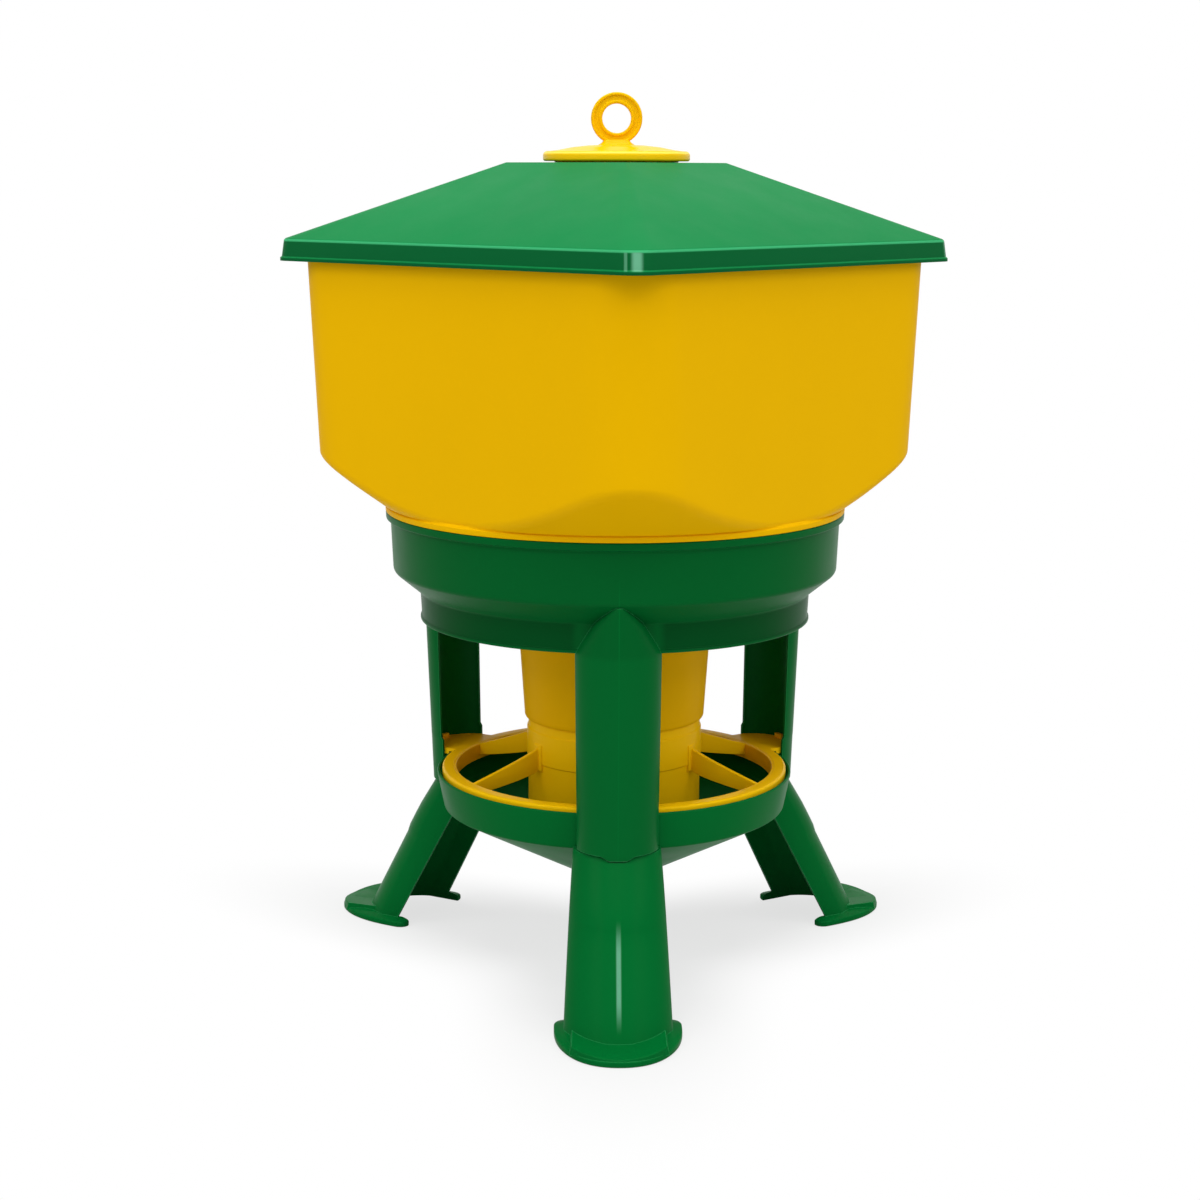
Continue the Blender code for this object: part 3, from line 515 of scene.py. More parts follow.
def base_colour(bench):
    """The socket that feeds the shader's base colour so far."""
    return bench.shader.inputs["Base Color"].links[0].from_socket


def parting_line_and_highlight(bench, tone, width, low, high):
    """Lighter line down the middle of each leg: the mould's witness line of its two halves on the upper
    legs, and a painted highlight along the lower legs' crest.
    """
    line = bench.spread(folded_distance(bench), 1, 0, width * 0.4, width, smooth=True)
    tinted(bench, bench.maths("MULTIPLY", line, between_heights(bench, low, high, 0.03)), tone)


def painted_corner_highlights(bench, tone, low, high):
    """Painted highlight: bright upright streaks on the square roof's four corners."""
    axes = bench.axes()
    turn = bench.maths("ADD", bench.maths("ARCTAN2", axes["Y"], axes["X"]), -SQUARE_TURN)
    folded = bench.maths("WRAP", turn, pi / 4, -pi / 4)
    wide = bench.spread(bench.maths("ABSOLUTE", folded), 0.8, 0, 0.006, 0.020, smooth=True)
    fine = bench.maths("ABSOLUTE", bench.maths("ADD", folded, 0.030))
    fine = bench.spread(fine, 0.45, 0, 0.002, 0.006, smooth=True)
    streak = bench.maths("MAXIMUM", wide, fine)
    tinted(bench, bench.maths("MULTIPLY", streak, between_heights(bench, low, high, 0.002)), tone)


def tinted(bench, share, tone):
    """Blends a tone over the base colour so far by a share of 0 to 1."""
    bench.put(bench.shader.inputs["Base Color"], bench.blend(share, base_colour(bench), tone))


def painted_edge_highlights(bench, tone, radius):
    """Painted highlight: a lighter tone where the surface turns over an edge."""
    soft = bench.nodes.new("ShaderNodeBevel")
    soft.samples = 6
    soft.inputs["Radius"].default_value = radius
    flat = bench.nodes.new("ShaderNodeNewGeometry").outputs["Normal"]
    turn = bench.nodes.new("ShaderNodeVectorMath")
    turn.operation = "DOT_PRODUCT"
    bench.link(soft.outputs["Normal"], turn.inputs[0])
    bench.link(flat, turn.inputs[1])
    tinted(bench, bench.spread(turn.outputs["Value"], 1.0, 0, 0.80, 0.985, smooth=True), tone)


def between_heights(bench, low, high, soft):
    """1 from low to high, fading to 0 over a soft width at both ends."""
    height = bench.axes()["Z"]
    rise = bench.spread(height, 0, 1, low - soft, low, smooth=True)
    return bench.maths("MULTIPLY", rise, bench.spread(height, 1, 0, high, high + soft, smooth=True))


def below(bench, low, high):
    """1 below low, 0 above high."""
    return bench.spread(bench.axes()["Z"], 1, 0, low, high, smooth=True)


def at_height(bench, z, width):
    """1 at a height, fading to 0 at a width above and below it."""
    off = bench.maths("ABSOLUTE", bench.maths("SUBTRACT", bench.axes()["Z"], z))
    return bench.spread(off, 1, 0, width * 0.3, width, smooth=True)


def studio_floor(tone):
    """White paint that reads plain white away from the feeder and keeps its soft shadow."""
    bench = NodeBench("studio_floor", tone)
    bench.shader.inputs["Base Color"].default_value = (*tone, 1.0)
    bench.shader.inputs["Roughness"].default_value = 0.9
    bench.shader.inputs["Specular IOR Level"].default_value = 0.0
    axes = bench.axes()
    out = bench.maths("SQRT", bench.maths("ADD", square(bench, axes["X"]), square(bench, axes["Y"])))
    turn = bench.maths("MULTIPLY", bench.maths("ARCTAN2", axes["Y"], axes["X"]), 3.0)
    lobes = bench.maths("MULTIPLY", bench.maths("SINE", turn), FLOOR_LOBES)
    away = bench.maths("MULTIPLY", out, bench.maths("SUBTRACT", 1.0, lobes))
    fade = bench.spread(away, FLOOR_GLOW[0], FLOOR_GLOW[1], FLOOR_FADE[0], FLOOR_FADE[1], smooth=True)
    behind = bench.spread(axes["Y"], 0, 0.9, *FLOOR_BACK, smooth=True)
    fade = bench.maths("MAXIMUM", fade, behind)
    glow = bench.nodes.new("ShaderNodeEmission")
    glow.inputs["Strength"].default_value = 1.0
    mix = bench.nodes.new("ShaderNodeMixShader")
    bench.put(mix.inputs["Fac"], bench.maths("MULTIPLY", bench.seen_rays(), fade))
    bench.link(bench.shader.outputs[0], mix.inputs[1])
    bench.link(glow.outputs[0], mix.inputs[2])
    bench.link(mix.outputs[0], bench.nodes["Material Output"].inputs["Surface"])
    return bench.material


def white_world():
    """Even white light for the feeder; plain white where the camera or a reflection looks."""
    world = bpy.data.worlds.new("studio")
    bpy.context.scene.world = world
    world.use_nodes = True
    tree = world.node_tree
    nodes, link = tree.nodes, tree.links.new
    fill = nodes["Background"]
    fill.inputs["Color"].default_value = (1, 1, 1, 1)
    fill.inputs["Strength"].default_value = WORLD_FILL
    white = nodes.new("ShaderNodeBackground")
    white.inputs["Color"].default_value = (1, 1, 1, 1)
    white.inputs["Strength"].default_value = 1.0
    rays = nodes.new("ShaderNodeLightPath").outputs
    seen = rays["Is Camera Ray"]
    for kind in ("Is Glossy Ray", "Is Transmission Ray"):
        either = nodes.new("ShaderNodeMath")
        either.operation = "MAXIMUM"
        link(seen, either.inputs[0])
        link(rays[kind], either.inputs[1])
        seen = either.outputs[0]
    mix = nodes.new("ShaderNodeMixShader")
    link(seen, mix.inputs["Fac"])
    link(fill.outputs[0], mix.inputs[1])
    link(white.outputs[0], mix.inputs[2])
    link(mix.outputs[0], nodes["World Output"].inputs["Surface"])


# Shapes


def square_radius(angle, half, corner):
    """Distance from the middle to a rounded square's outline, in a direction from a face's normal."""
    folded = abs((angle + pi / 4) % (pi / 2) - pi / 4)
    if half * tan(folded) <= half - corner:
        return half / cos(folded)
    middle = half - corner
    along = middle * (cos(folded) + sin(folded))
    return along + sqrt(max(0.0, along * along - 2 * middle * middle + corner * corner))


def soft_minimum(first, second, softness):
    blend = max(softness - abs(first - second), 0.0) / softness
    return min(first, second) - blend * blend * softness / 4


def tub_ring(z, half, corner, steps=288, grow=0.0):
    """One ring of the square tub, drawn in by the cone that narrows to the neck."""
    cone = NECK_RADIUS + (z - NECK_TOP_Z) / CONE_SLOPE
    ring = []
    for index in range(steps):
        angle = 2 * pi * index / steps
        square = square_radius(angle - pi / 4 - SQUARE_TURN, half, corner)
        radius = soft_minimum(square, cone, FOLD_SOFTNESS) + grow
        ring.append((radius * cos(angle), radius * sin(angle), z))
    return ring


def round_ring(radius, z, steps=288):
    return [(radius * cos(2 * pi * k / steps), radius * sin(2 * pi * k / steps), z) for k in range(steps)]


def tub_rings(sizes):
    """Rings of the hopper from its rolled mouth down to the end of the feed tube."""
    top = HOPPER_HIGH.z
    rings = []
    bead = [(-0.0004, 0), (0.0012, 0), (0.0021, 0.0008), (0.0024, 0.0020), (0.0022, 0.0052)]
    bead += [(0.0012, 0.0070), (0.0002, 0.0080), (0, 0.0092)]
    drops = [depth for _, depth in bead] + [0.03 + 0.02 * k for k in range(9)]
    grows = [grow for grow, _ in bead] + [0] * 9
    levels = [top - drop for drop in drops]
    fine = NECK_TOP_Z + 0.0645
    levels = [z for z in levels if z > fine + 0.004]
    levels += [fine - 0.0015 * k for k in range(43)]
    for index, z in enumerate(levels):
        share = (z - NECK_TOP_Z) / (top - NECK_TOP_Z)
        half = between((TUB_BOTTOM_HALF, sizes.half_side), share)
        corner = between((TUB_BOTTOM_CORNER, sizes.corner), share)
        grow = grows[index] if index < len(grows) and z > top - 0.012 else 0.0
        rings.append(tub_ring(z, half, corner, grow=grow))
    seat = COLLAR_HIGH.z + GAP
    tube = sizes.tube_radius
    low = HOPPER_LOW.z
    outline = rounded(
        [
            (NECK_RADIUS - 0.0016, NECK_TOP_Z - 0.0002),
            (NECK_RADIUS + 0.0002, NECK_TOP_Z - 0.0012),
            (NECK_RADIUS, seat),
            (SPIGOT[0], seat),
            SPIGOT,
            TUBE_TOP,
            (tube, low),
        ],
        [0, 0.0006, 0.0008, 0.0006, 0.004, 0.010, 0],
        4,
    )
    flare = [(tube + 0.0004, low + 0.0050), (tube + 0.0002, low + 0.0016), (tube - 0.0006, low)]
    return rings + [round_ring(radius, z) for radius, z in outline[:-1] + flare]


def channel(z, crest, edge, half, depth, inset, steps=28, ridge=0.0):
    """D-shaped section of a leg: a round web, then straight walls to the open edge."""
    crest -= inset
    half -= inset
    sagitta = min(depth - inset, half * 0.999)
    radius = (half * half + sagitta * sagitta) / (2 * sagitta)
    reach = asin(half / radius)
    points = []
    for k in range(steps + 1):
        angle = reach * (2 * k / steps - 1)
        raised = ridge * max(0.0, 1 - abs(k - steps / 2))
        points.append((crest - radius + (radius + raised) * cos(angle), radius * sin(angle), z))
    if inset:
        edge -= 0.03
    return [*points, (edge, half, z), (edge, -half, z)]


def upper_leg_rings(inset):
    """Sections of an upper leg, narrowing to a pointed arch where it leaves the collar."""
    low, high = COLLAR_LOW.z, NECK_BOTTOM[1]
    straight = low + 0.004
    start = low - (0.02 if inset else 0.002)
    levels = [start, straight, LEG_EDGE_STEP_Z, LEG_EDGE_STEP_Z + 0.003, high]
    rings = []
    for z in levels:
        share = max(0.0, z - straight) / (high - straight)
        edge = between(LEG_EDGE, share) + (0.0016 if z > LEG_EDGE_STEP_Z else -0.0004)
        crest = between(LEG_CREST, share)
        half = between(LEG_HALF_WIDTH, share)
        rings.append(channel(z, crest, edge, half, crest - edge - 0.0005, inset))
    arch = BAND_BOTTOM[1] - high
    steps = [(0.15, 0.90, 0.0315), (0.30, 0.78, 0.0285), (0.46, 0.66, 0.0250), (0.62, 0.53, 0.0205)]
    steps += [(0.74, 0.39, 0.0145), (0.86, 0.23, 0.0085), (0.95, 0.08, 0.0028)]
    for rise, width, depth in steps[: 3 if inset else 7]:
        half = LEG_HALF_WIDTH[1] * width
        rings.append(channel(high + arch * rise, LEG_CREST[1], LEG_EDGE[1], half, depth, inset))
    return rings


def foot_crest(z):
    """Radius of the lower leg's web, with the raised shoulder under the joint."""
    crest = FOOT_CREST[0] + (FOOT_CREST[1] - z) * FOOT_SPLAY
    raised = min(1.0, max(0.0, (z - FOOT_SHOULDER_Z + 0.008) / 0.008))
    joint = COLLAR_LOW.z - z
    return crest + 0.0016 * raised - 0.0030 * max(0.0, 1 - joint / 0.03)


def foot_rings(inset):
    """Sections of a lower leg from the joint down to the floor."""
    top = COLLAR_LOW.z + JOINT_STEP + 0.002
    levels = [top, 0.152, 0.147, 0.140, 0.130, 0.117, FOOT_SHOULDER_Z, 0.102, 0.100, 0.098, 0.096]
    levels += [0.085, 0.070, 0.055, 0.035, 0.015, 0.0]
    if inset:
        levels = [top + 0.02, *levels[1:-1], -0.01]
    rings = []
    for z in levels:
        share = 1 - z / top
        half = between(FOOT_HALF_WIDTH, share**0.8 if share > 0 else share)
        edge = FOOT_EDGE[0] + (FOOT_EDGE[1] - z) * FOOT_SPLAY
        depth = between(FOOT_DEPTH, share)
        ridge = 0.0 if inset else 0.00035
        rings.append(channel(z, foot_crest(z), edge, half, depth, inset, ridge=ridge))
    return rings


def joint_slab(name, shift, far_z):
    """Slab from the wavy joint line between the legs, moved by shift, to a far height."""
    near, far = JOINT_STEP_AT
    side = [(0.07, JOINT_STEP)]
    for k in range(16, -1, -1):
        side.append((near + (far - near) * k / 16, JOINT_STEP * (1 - cos(pi * k / 16)) / 2))
    line = [*side, *[(-y, rise) for y, rise in reversed(side)]]
    outline = [(y, COLLAR_LOW.z + rise + shift) for y, rise in line]
    outline += [(-0.07, far_z), (0.07, far_z)]
    return loft(name, [[(x, y, z) for y, z in outline] for x in (0.15, 0.26)])


def pad_front(half, reach, y):
    """How far a pad's front edge stands out beyond PAD_CENTRE, at a distance y aside."""
    return reach * max(0.0, 1 - abs(y / half) ** PAD_FULLNESS) ** (1 / PAD_FULLNESS)


def pad_ring(sizes, grow, z, steps=56):
    """Outline of a foot pad: full round front, straight sides and rounded back corners."""
    half, reach, back = sizes.pad_half_width + grow, sizes.pad_reach + grow, PAD_BACK - grow / 2
    long, wide = PAD_CORNER
    points = []
    for k in range(steps + 1):
        turn = pi * (k / steps - 0.5)
        y = half * abs(sin(turn)) ** (2 / PAD_FULLNESS) * (1 if turn > 0 else -1)
        points.append((PAD_CENTRE + pad_front(half, reach, y), y, z))
    corner = []
    for k in range(9):
        turn = pi / 16 * k
        corner.append((back + long * (1 - sin(turn)), half - wide * (1 - cos(turn)), z))
    return [*points, *corner, *[(x, -y, z) for x, y, _ in reversed(corner)]]


def blade(name, outline, thickness):
    """Flat plate standing in the X-Z plane, centred on Y."""
    return loft(name, [[(x, y, z) for x, z in outline] for y in (-thickness / 2, thickness / 2)])


# Pieces


class FEEDER_OT_roof(bpy.types.Operator):
    """Model the four-sided roof with its drip skirt and filler opening"""

    bl_idname = "feeder.roof"
    bl_label = "Roof lid"

    def execute(self, context):
        sizes = context.scene.feeder_roof
        eave, top = LID_LOW.z, LID_HIGH.z
        half = sizes.half_side
        start_fresh()
        bpy.ops.mesh.primitive_plane_add(size=2 * half, location=(0, 0, eave))
        obj = named("roof")
        obj.data.transform(Matrix.Rotation(pi / 4 + SQUARE_TURN, 4, "Z") @ obj.matrix_world)
        obj.matrix_world = Matrix.Identity(4)
        edit_all(obj)
        bpy.ops.mesh.bevel(offset=sizes.corner, segments=14, affect="VERTICES")
        bpy.ops.mesh.delete(type="ONLY_FACE")
        bpy.ops.mesh.select_all(action="SELECT")
        skirt = eave + SKIRT_TOP
        outline = rounded(
            [
                (half, eave),
                (half, eave + 0.0032),
                (half - 0.0012, eave + 0.0044),
                (half - 0.0030, skirt),
                (ROOF_TOP_HALF, top),
            ],
            [0, 0.0006, 0.0008, 0.0035, 0],
        )
        for (size, z), (next_size, next_z) in zip(outline, outline[1:]):
            bpy.ops.mesh.extrude_edges_move(TRANSFORM_OT_translate={"value": (0, 0, next_z - z)})
            scale = next_size / size
            bpy.ops.transform.resize(value=(scale, scale, 1), center_override=(0, 0, next_z))
        bpy.ops.mesh.edge_face_add()
        closed_up(obj)
        with_wall(obj, sizes.wall)
        low, high = top - 0.02, top + 0.02
        opening = [(0, low), (FILLER_RADIUS, low), (FILLER_RADIUS, high), (0, high)]
        combined(obj, turned("filler_opening", opening, SMALL_STEPS), "DIFFERENCE")
        with_soft_edges(obj, 0.0005)
        smoothed(obj)
        handed_over(obj, "roof_lid", ["roof_lid"], "roof_green")
        return {"FINISHED"}


class FEEDER_OT_hopper(bpy.types.Operator):
    """Model the square tub, its cone, the neck, the funnel and the feed tube"""

    bl_idname = "feeder.hopper"
    bl_label = "Hopper"

    def execute(self, context):
        sizes = context.scene.feeder_hopper
        obj = loft("tub", tub_rings(sizes), capped=False)
        with_wall(obj, WALL)
        with_soft_edges(obj, 0.0004, 60, 2)
        smoothed(obj, 40)
        handed_over(obj, "hopper", ["hopper"], "hopper_yellow")
        return {"FINISHED"}


class FEEDER_OT_cap(bpy.types.Operator):
    """Model the filler cap with its dome, plug, foot and finger ring"""

    bl_idname = "feeder.cap"
    bl_label = "Filler cap"

    def execute(self, context):
        sizes = context.scene.feeder_roof
        seat = LID_HIGH.z + GAP
        under = seat + CAP_RIM_UNDER
        rim = seat + CAP_RIM_TOP
        dome = rim + CAP_DOME
        plug = FILLER_RADIUS - PLUG_CLEARANCE
        radius = sizes.cap_radius
        outline = rounded(
            [
                (0, dome - CAP_WALL),
                (plug * 0.5, dome - CAP_WALL - 0.0016),
                (plug - CAP_WALL, rim - CAP_WALL),
                (plug - CAP_WALL, CAP_LOW.z),
                (plug, CAP_LOW.z),
                (plug, seat),
                (SEAT_RADIUS, seat),
                (SEAT_RADIUS, under),
                (radius, under),
                (radius, rim),
                (radius - 0.0080, rim + 0.0004),
                (radius * 0.80, rim + 0.0012),
                (radius * 0.60, rim + 0.0040),
                (radius * 0.38, dome - 0.0011),
                (0, dome),
            ],
            [0, 0.01, 0.002, 0.0008, 0.0008, 0, 0.0004, 0.0004, 0.0022, 0.0042]
            + [0.006, 0.006, 0.02, 0.02, 0],
            6,
        )
        cap = turned("cap", outline, SMALL_STEPS)
        combined(cap, finger_ring(sizes, dome))
        closed_up(cap)
        smoothed(cap, 35)
        handed_over(cap, "filler_cap", ["filler_cap"], "cap_yellow")
        return {"FINISHED"}


def soft_oblong(wide, deep, z, steps=6):
    """Oblong section with round corners; wide and deep are its half width and half depth."""
    corner = min(wide, deep) * 0.8
    points = []
    for quarter, (sx, sy) in enumerate(((1, -1), (1, 1), (-1, 1), (-1, -1))):
        for step in range(steps + 1):
            turn = -pi / 2 + quarter * pi / 2 + pi / 2 * step / steps
            x = sx * (wide - corner) + corner * cos(turn)
            points.append((x, sy * (deep - corner) + corner * sin(turn), z))
    return points


def finger_ring(sizes, dome):
    """Grooved finger ring on a flared foot, fused into one skin."""
    low, high = sizes.ring_inner, sizes.ring_outer
    half, rim, recess = 0.0042, 0.0026, 0.0016
    centre = CAP_HIGH.z - high
    face = [
        (low, -half + 0.0010),
        (low + 0.0010, -half),
        (low + rim, -half),
        (low + rim + 0.0008, -half + recess),
        (high - rim - 0.0008, -half + recess),
        (high - rim, -half),
        (high - 0.0010, -half),
        (high, -half + 0.0010),
    ]
    outline = face + [(r, -z) for r, z in reversed(face)]
    radii = [0.0006, 0.0006, 0.0004, 0.0004, 0.0004, 0.0004, 0.0006, 0.0006] * 2
    ring = turned("finger_ring", rounded(outline, radii, 3), SMALL_STEPS)
    ring.data.transform(Matrix.Translation((0, 0, centre)) @ Matrix.Rotation(pi / 2, 4, "X"))
    low_z = centre - high * cos(asin(0.0126 / high)) + 0.0012
    sections = [
        (dome - 0.0042, 0.0225, 0.0125),
        (dome - 0.0010, 0.0182, 0.0090),
        (dome + 0.0006, 0.0158, 0.0074),
        (dome + 0.0022, 0.0138, 0.0060),
        (dome + 0.0042, 0.0126, 0.0048),
        (low_z, 0.0126, 0.0040),
    ]
    foot = loft("ring_foot", [soft_oblong(wide, deep, z) for z, wide, deep in sections])
    combined(ring, foot)
    ring.data.transform(Matrix.Rotation(SQUARE_TURN, 4, "Z"))
    return ring


class FEEDER_OT_collar(bpy.types.Operator):
    """Model the round collar with its lip, cone, neck bead and three channel legs"""

    bl_idname = "feeder.collar"
    bl_label = "Stand collar"

    def execute(self, context):
        sizes = context.scene.feeder_stand
        top = COLLAR_HIGH.z
        band = sizes.collar_radius
        wall = sizes.leg_wall
        lip_z = top - COLLAR_LIP_HEIGHT
        outer = rounded(
            [
                (0, NECK_BOTTOM[1]),
                (NECK_BOTTOM[0] + 0.0014, NECK_BOTTOM[1]),
                (NECK_BOTTOM[0] + 0.0014, NECK_BOTTOM[1] + 0.0026),
                (NECK_BOTTOM[0] + 0.0001, NECK_BOTTOM[1] + 0.0040),
                NECK_TOP,
                BAND_BOTTOM,
                (band, lip_z - 0.0014),
                (COLLAR_LIP_RADIUS - 0.0004, lip_z),
                (COLLAR_LIP_RADIUS, top),
                (0, top),
            ],
            [0, 0.0009, 0.0010, 0.0010, 0.0045, 0.0065, 0.0012, 0.0012, 0.0014, 0],
        )
        obj = turned("collar", outer)
        leg = loft("upper_leg", upper_leg_rings(0))
        combined(leg, joint_slab("upper_leg_end", 0, COLLAR_LOW.z - 0.02), "DIFFERENCE")
        with_soft_edges(leg, 0.0005, 60)
        for copy in turned_copies(leg, LEGS.values()):
            combined(obj, copy)
        room = turned(
            "collar_room",
            [
                (0, NECK_BOTTOM[1] - 0.02),
                (NECK_BOTTOM[0] - wall, NECK_BOTTOM[1] - 0.02),
                (NECK_TOP[0] - wall, NECK_TOP[1] + wall * 0.5),
                (BAND_BOTTOM[0] - wall, BAND_BOTTOM[1] + wall * 0.5),
                (band - wall, top + 0.02),
                (0, top + 0.02),
            ],
        )
        inside = loft("upper_leg_room", upper_leg_rings(wall))
        for copy in turned_copies(inside, LEGS.values()):
            combined(room, copy)
        combined(obj, room, "DIFFERENCE")
        closed_up(obj)
        smoothed(obj, 30)
        handed_over(obj, "stand", ["stand_collar"], "stand_green")
        return {"FINISHED"}


class FEEDER_OT_pan(bpy.types.Operator):
    """Model the trough pan: banded rim, conical floor and the spreader cone"""

    bl_idname = "feeder.pan"
    bl_label = "Trough pan"

    def execute(self, context):
        sizes = context.scene.feeder_pan
        rim = PAN_HIGH.z
        radius = sizes.radius
        band_r, band_z = radius - PAN_TAPER, rim - sizes.band
        valley_r, spread = PAN_VALLEY_RADIUS, PAN_SPREADER_Z
        valley_z = band_z - (band_r - valley_r) * PAN_FLOOR_SLOPE
        ledge = rim - PAN_LEDGE_DROP
        outline = rounded(
            [
                (0, spread - WALL * 1.5),
                (valley_r - 0.012, valley_z + 0.0005),
                (valley_r, valley_z),
                (band_r, band_z),
                (radius, rim - 0.0012),
                (radius - 0.0006, rim),
                (radius - WALL, rim),
                (radius - WALL - 0.0006, ledge),
                (radius - WALL - PAN_LEDGE_WIDTH, ledge),
                (radius - WALL - PAN_LEDGE_WIDTH, ledge - 0.0020),
                (radius - WALL - 0.0018, rim - 0.0090),
                (band_r - WALL, band_z + WALL * 0.7),
                (valley_r - 0.002, valley_z + WALL),
                (valley_r - 0.012, valley_z + WALL + 0.0008),
                (0, spread),
            ],
            [0, 0.004, 0.004, 0.0040, 0.0006, 0.0006, 0.0008, 0.0005, 0.0006, 0.0006]
            + [0.001, 0.003, 0.004, 0.004, 0],
        )
        obj = turned("pan", outline)
        smoothed(obj, 35)
        handed_over(obj, "stand", ["trough_pan"], "pan_green")
        return {"FINISHED"}


class FEEDER_OT_grill(bpy.types.Operator):
    """Model the feed grill: top ring, sleeve, spokes and the lugs in the legs"""

    bl_idname = "feeder.grill"
    bl_label = "Feed grill"

    def execute(self, context):
        sizes = context.scene.feeder_pan
        top = GRILL_TOP
        outer = sizes.radius - GRILL_INSET
        inner = outer - sizes.ring_width
        wall = GRILL_WALL
        foot = PAN_HIGH.z - PAN_LEDGE_DROP + GAP
        ring = rounded(
            [
                (inner, top - 0.0165),
                (inner + wall, top - 0.0165),
                (inner + wall, top - wall),
                (outer - wall, top - wall),
                (outer - wall, foot),
                (outer, foot),
                (outer, top),
                (inner + 0.0030, top),
                (inner + 0.0022, top - 0.0004),
                (inner, top - 0.0004),
            ],
            [0.0006, 0.0006, 0.001, 0.001, 0.0005, 0.0005, 0.0024, 0.0004, 0.0004, 0.0016],
        )
        obj = turned("grill", ring)
        for lug in turned_copies(grill_lug(sizes, outer), LEGS.values()):
            combined(obj, lug)
        combined(obj, grill_sleeve(sizes))
        angles = [pi / 2 + 2 * pi * k / SPOKE_COUNT for k in range(SPOKE_COUNT)]
        for part in (grill_spoke(sizes, inner, top), grill_pad(sizes)):
            for copy in turned_copies(part, angles):
                combined(obj, copy)
        closed_up(obj)
        smoothed(obj, 35)
        handed_over(obj, "feed_grill", ["feed_grill"], "grill_yellow")
        return {"FINISHED"}


def grill_sleeve(sizes):
    """Stepped sleeve that goes up into the hopper's tube."""
    radius, wall = sizes.sleeve_radius, GRILL_WALL
    fit = TUBE_END_RADIUS - WALL - SLEEVE_CLEARANCE
    shoulder = HOPPER_LOW.z - SLEEVE_SHOULDER
    outline = rounded(
        [
            (radius - wall, GRILL_LOW.z),
            (radius, GRILL_LOW.z),
            (radius, SLEEVE_STEP_Z),
            (radius + SLEEVE_STEP, SLEEVE_STEP_Z + 0.0008),
            (radius + SLEEVE_STEP, shoulder - 0.0016),
            (fit, shoulder),
            (fit - 0.0004, GRILL_HIGH.z),
            (fit - 0.0004 - wall, GRILL_HIGH.z),
            (fit - 0.0004 - wall, SLEEVE_STEP_Z),
        ],
        [0.0006, 0.0006, 0.0004, 0.0004, 0.0012, 0.0006, 0.0008, 0.0006, 0],
        4,
    )
    return turned("grill_sleeve", outline, SMALL_STEPS)


def grill_spoke(sizes, inner, top):
    """Curved blade from the sleeve to the ring."""
    root, tip = sizes.sleeve_radius - 0.0008, inner + 0.0013
    low, high = SPOKE_ROOT_Z
    bottom, upper = [], []
    for k in range(13):
        radius = between((root, tip), k / 12)
        bottom.append((radius, between((low, top - SPOKE_TIP_HEIGHT), (k / 12) ** 0.6)))
        upper.append((radius, between((high, top - 0.0005), (k / 12) ** 0.85)))
    spoke = blade("grill_spoke", [*bottom, *reversed(upper)], sizes.spoke_thickness)
    return with_soft_edges(spoke, 0.0009, 60, 3)


def grill_pad(sizes):
    """Upright rib on the sleeve that backs a spoke."""
    low, high = SPOKE_ROOT_Z
    root = sizes.sleeve_radius + SLEEVE_STEP
    outline = [
        (root - 0.0022, low - 0.0030),
        (root + 0.0012, low - 0.0020),
        (root + 0.0012, high + 0.0010),
        (root - 0.0022, high + 0.0040),
    ]
    return with_soft_edges(blade("grill_pad", outline, 0.0140), 0.0007, 40, 2)


def lug_ring(inset, near, z):
    """Half-round outline that follows a leg's channel from the ring outwards."""
    share = (z - COLLAR_LOW.z) / (NECK_BOTTOM[1] - COLLAR_LOW.z)
    crest, edge = between(LEG_CREST, share), between(LEG_EDGE, share)
    half = between(LEG_HALF_WIDTH, share)
    ring = channel(z, crest, edge, half, crest - edge, LEG_WALL + inset)
    return [*ring[:-2], (near, ring[-2][1], z), (near, ring[-1][1], z)]


def grill_lug(sizes, outer):
    """Half-round shelf that rides in a leg's channel, with a skirt below and a tab on its nose."""
    top = GRILL_TOP
    low = top - 0.0062
    wall = GRILL_WALL
    body = loft("grill_lug", [lug_ring(LUG_GAP, outer - 0.0060, z) for z in (low, top)])
    levels = (low - 0.01, top - wall)
    room = [lug_ring(LUG_GAP + wall, sizes.radius - 0.012, z) for z in levels]
    combined(body, loft("grill_lug_room", room), "DIFFERENCE")
    clear_r, clear_z = sizes.radius + 0.0012, PAN_HIGH.z + 0.0006
    pan = turned("grill_lug_pan", [(0, 0), (clear_r, 0), (clear_r, clear_z), (0, clear_z)])
    combined(body, pan, "DIFFERENCE")
    nose = between(LEG_CREST, 0.2) - LEG_WALL - LUG_GAP
    half, height = 0.0060, 0.0045
    corners = [(nose - 0.0060, -half), (nose - 0.0014, -half), (nose - 0.0014, half), (nose - 0.0060, half)]
    tab = loft("grill_tab", [[(x, y, z) for x, y in corners] for z in (top - 0.001, top + height)])
    with_soft_edges(tab, 0.0005, 40, 2)
    return combined(body, tab)


class FEEDER_OT_feet(bpy.types.Operator):
    """Model one splayed lower leg with its pad and copy it under each upper leg"""

    bl_idname = "feeder.feet"
    bl_label = "Lower legs"

    def execute(self, context):
        sizes = context.scene.feeder_stand
        pan = context.scene.feeder_pan
        wall = sizes.leg_wall
        foot = loft("foot", foot_rings(0))
        combined(foot, joint_slab("foot_end", -JOINT_SHOWS, COLLAR_LOW.z + 0.02), "DIFFERENCE")
        with_soft_edges(foot, 0.0006, 60)
        combined(foot, foot_pad(sizes))
        combined(foot, foot_band(sizes))
        combined(foot, loft("foot_room", foot_rings(wall)), "DIFFERENCE")
        combined(foot, pan_seat(pan), "DIFFERENCE")
        closed_up(foot)
        smoothed(foot, 32)
        copies = turned_copies(foot, LEGS.values())
        for copy, side in zip(copies, LEGS):
            copy.name = "foot_" + side
            copy.data.name = copy.name
            node = "lower_leg_" + side
            handed_over(copy, "stand", [node], "leg_green")
        return {"FINISHED"}


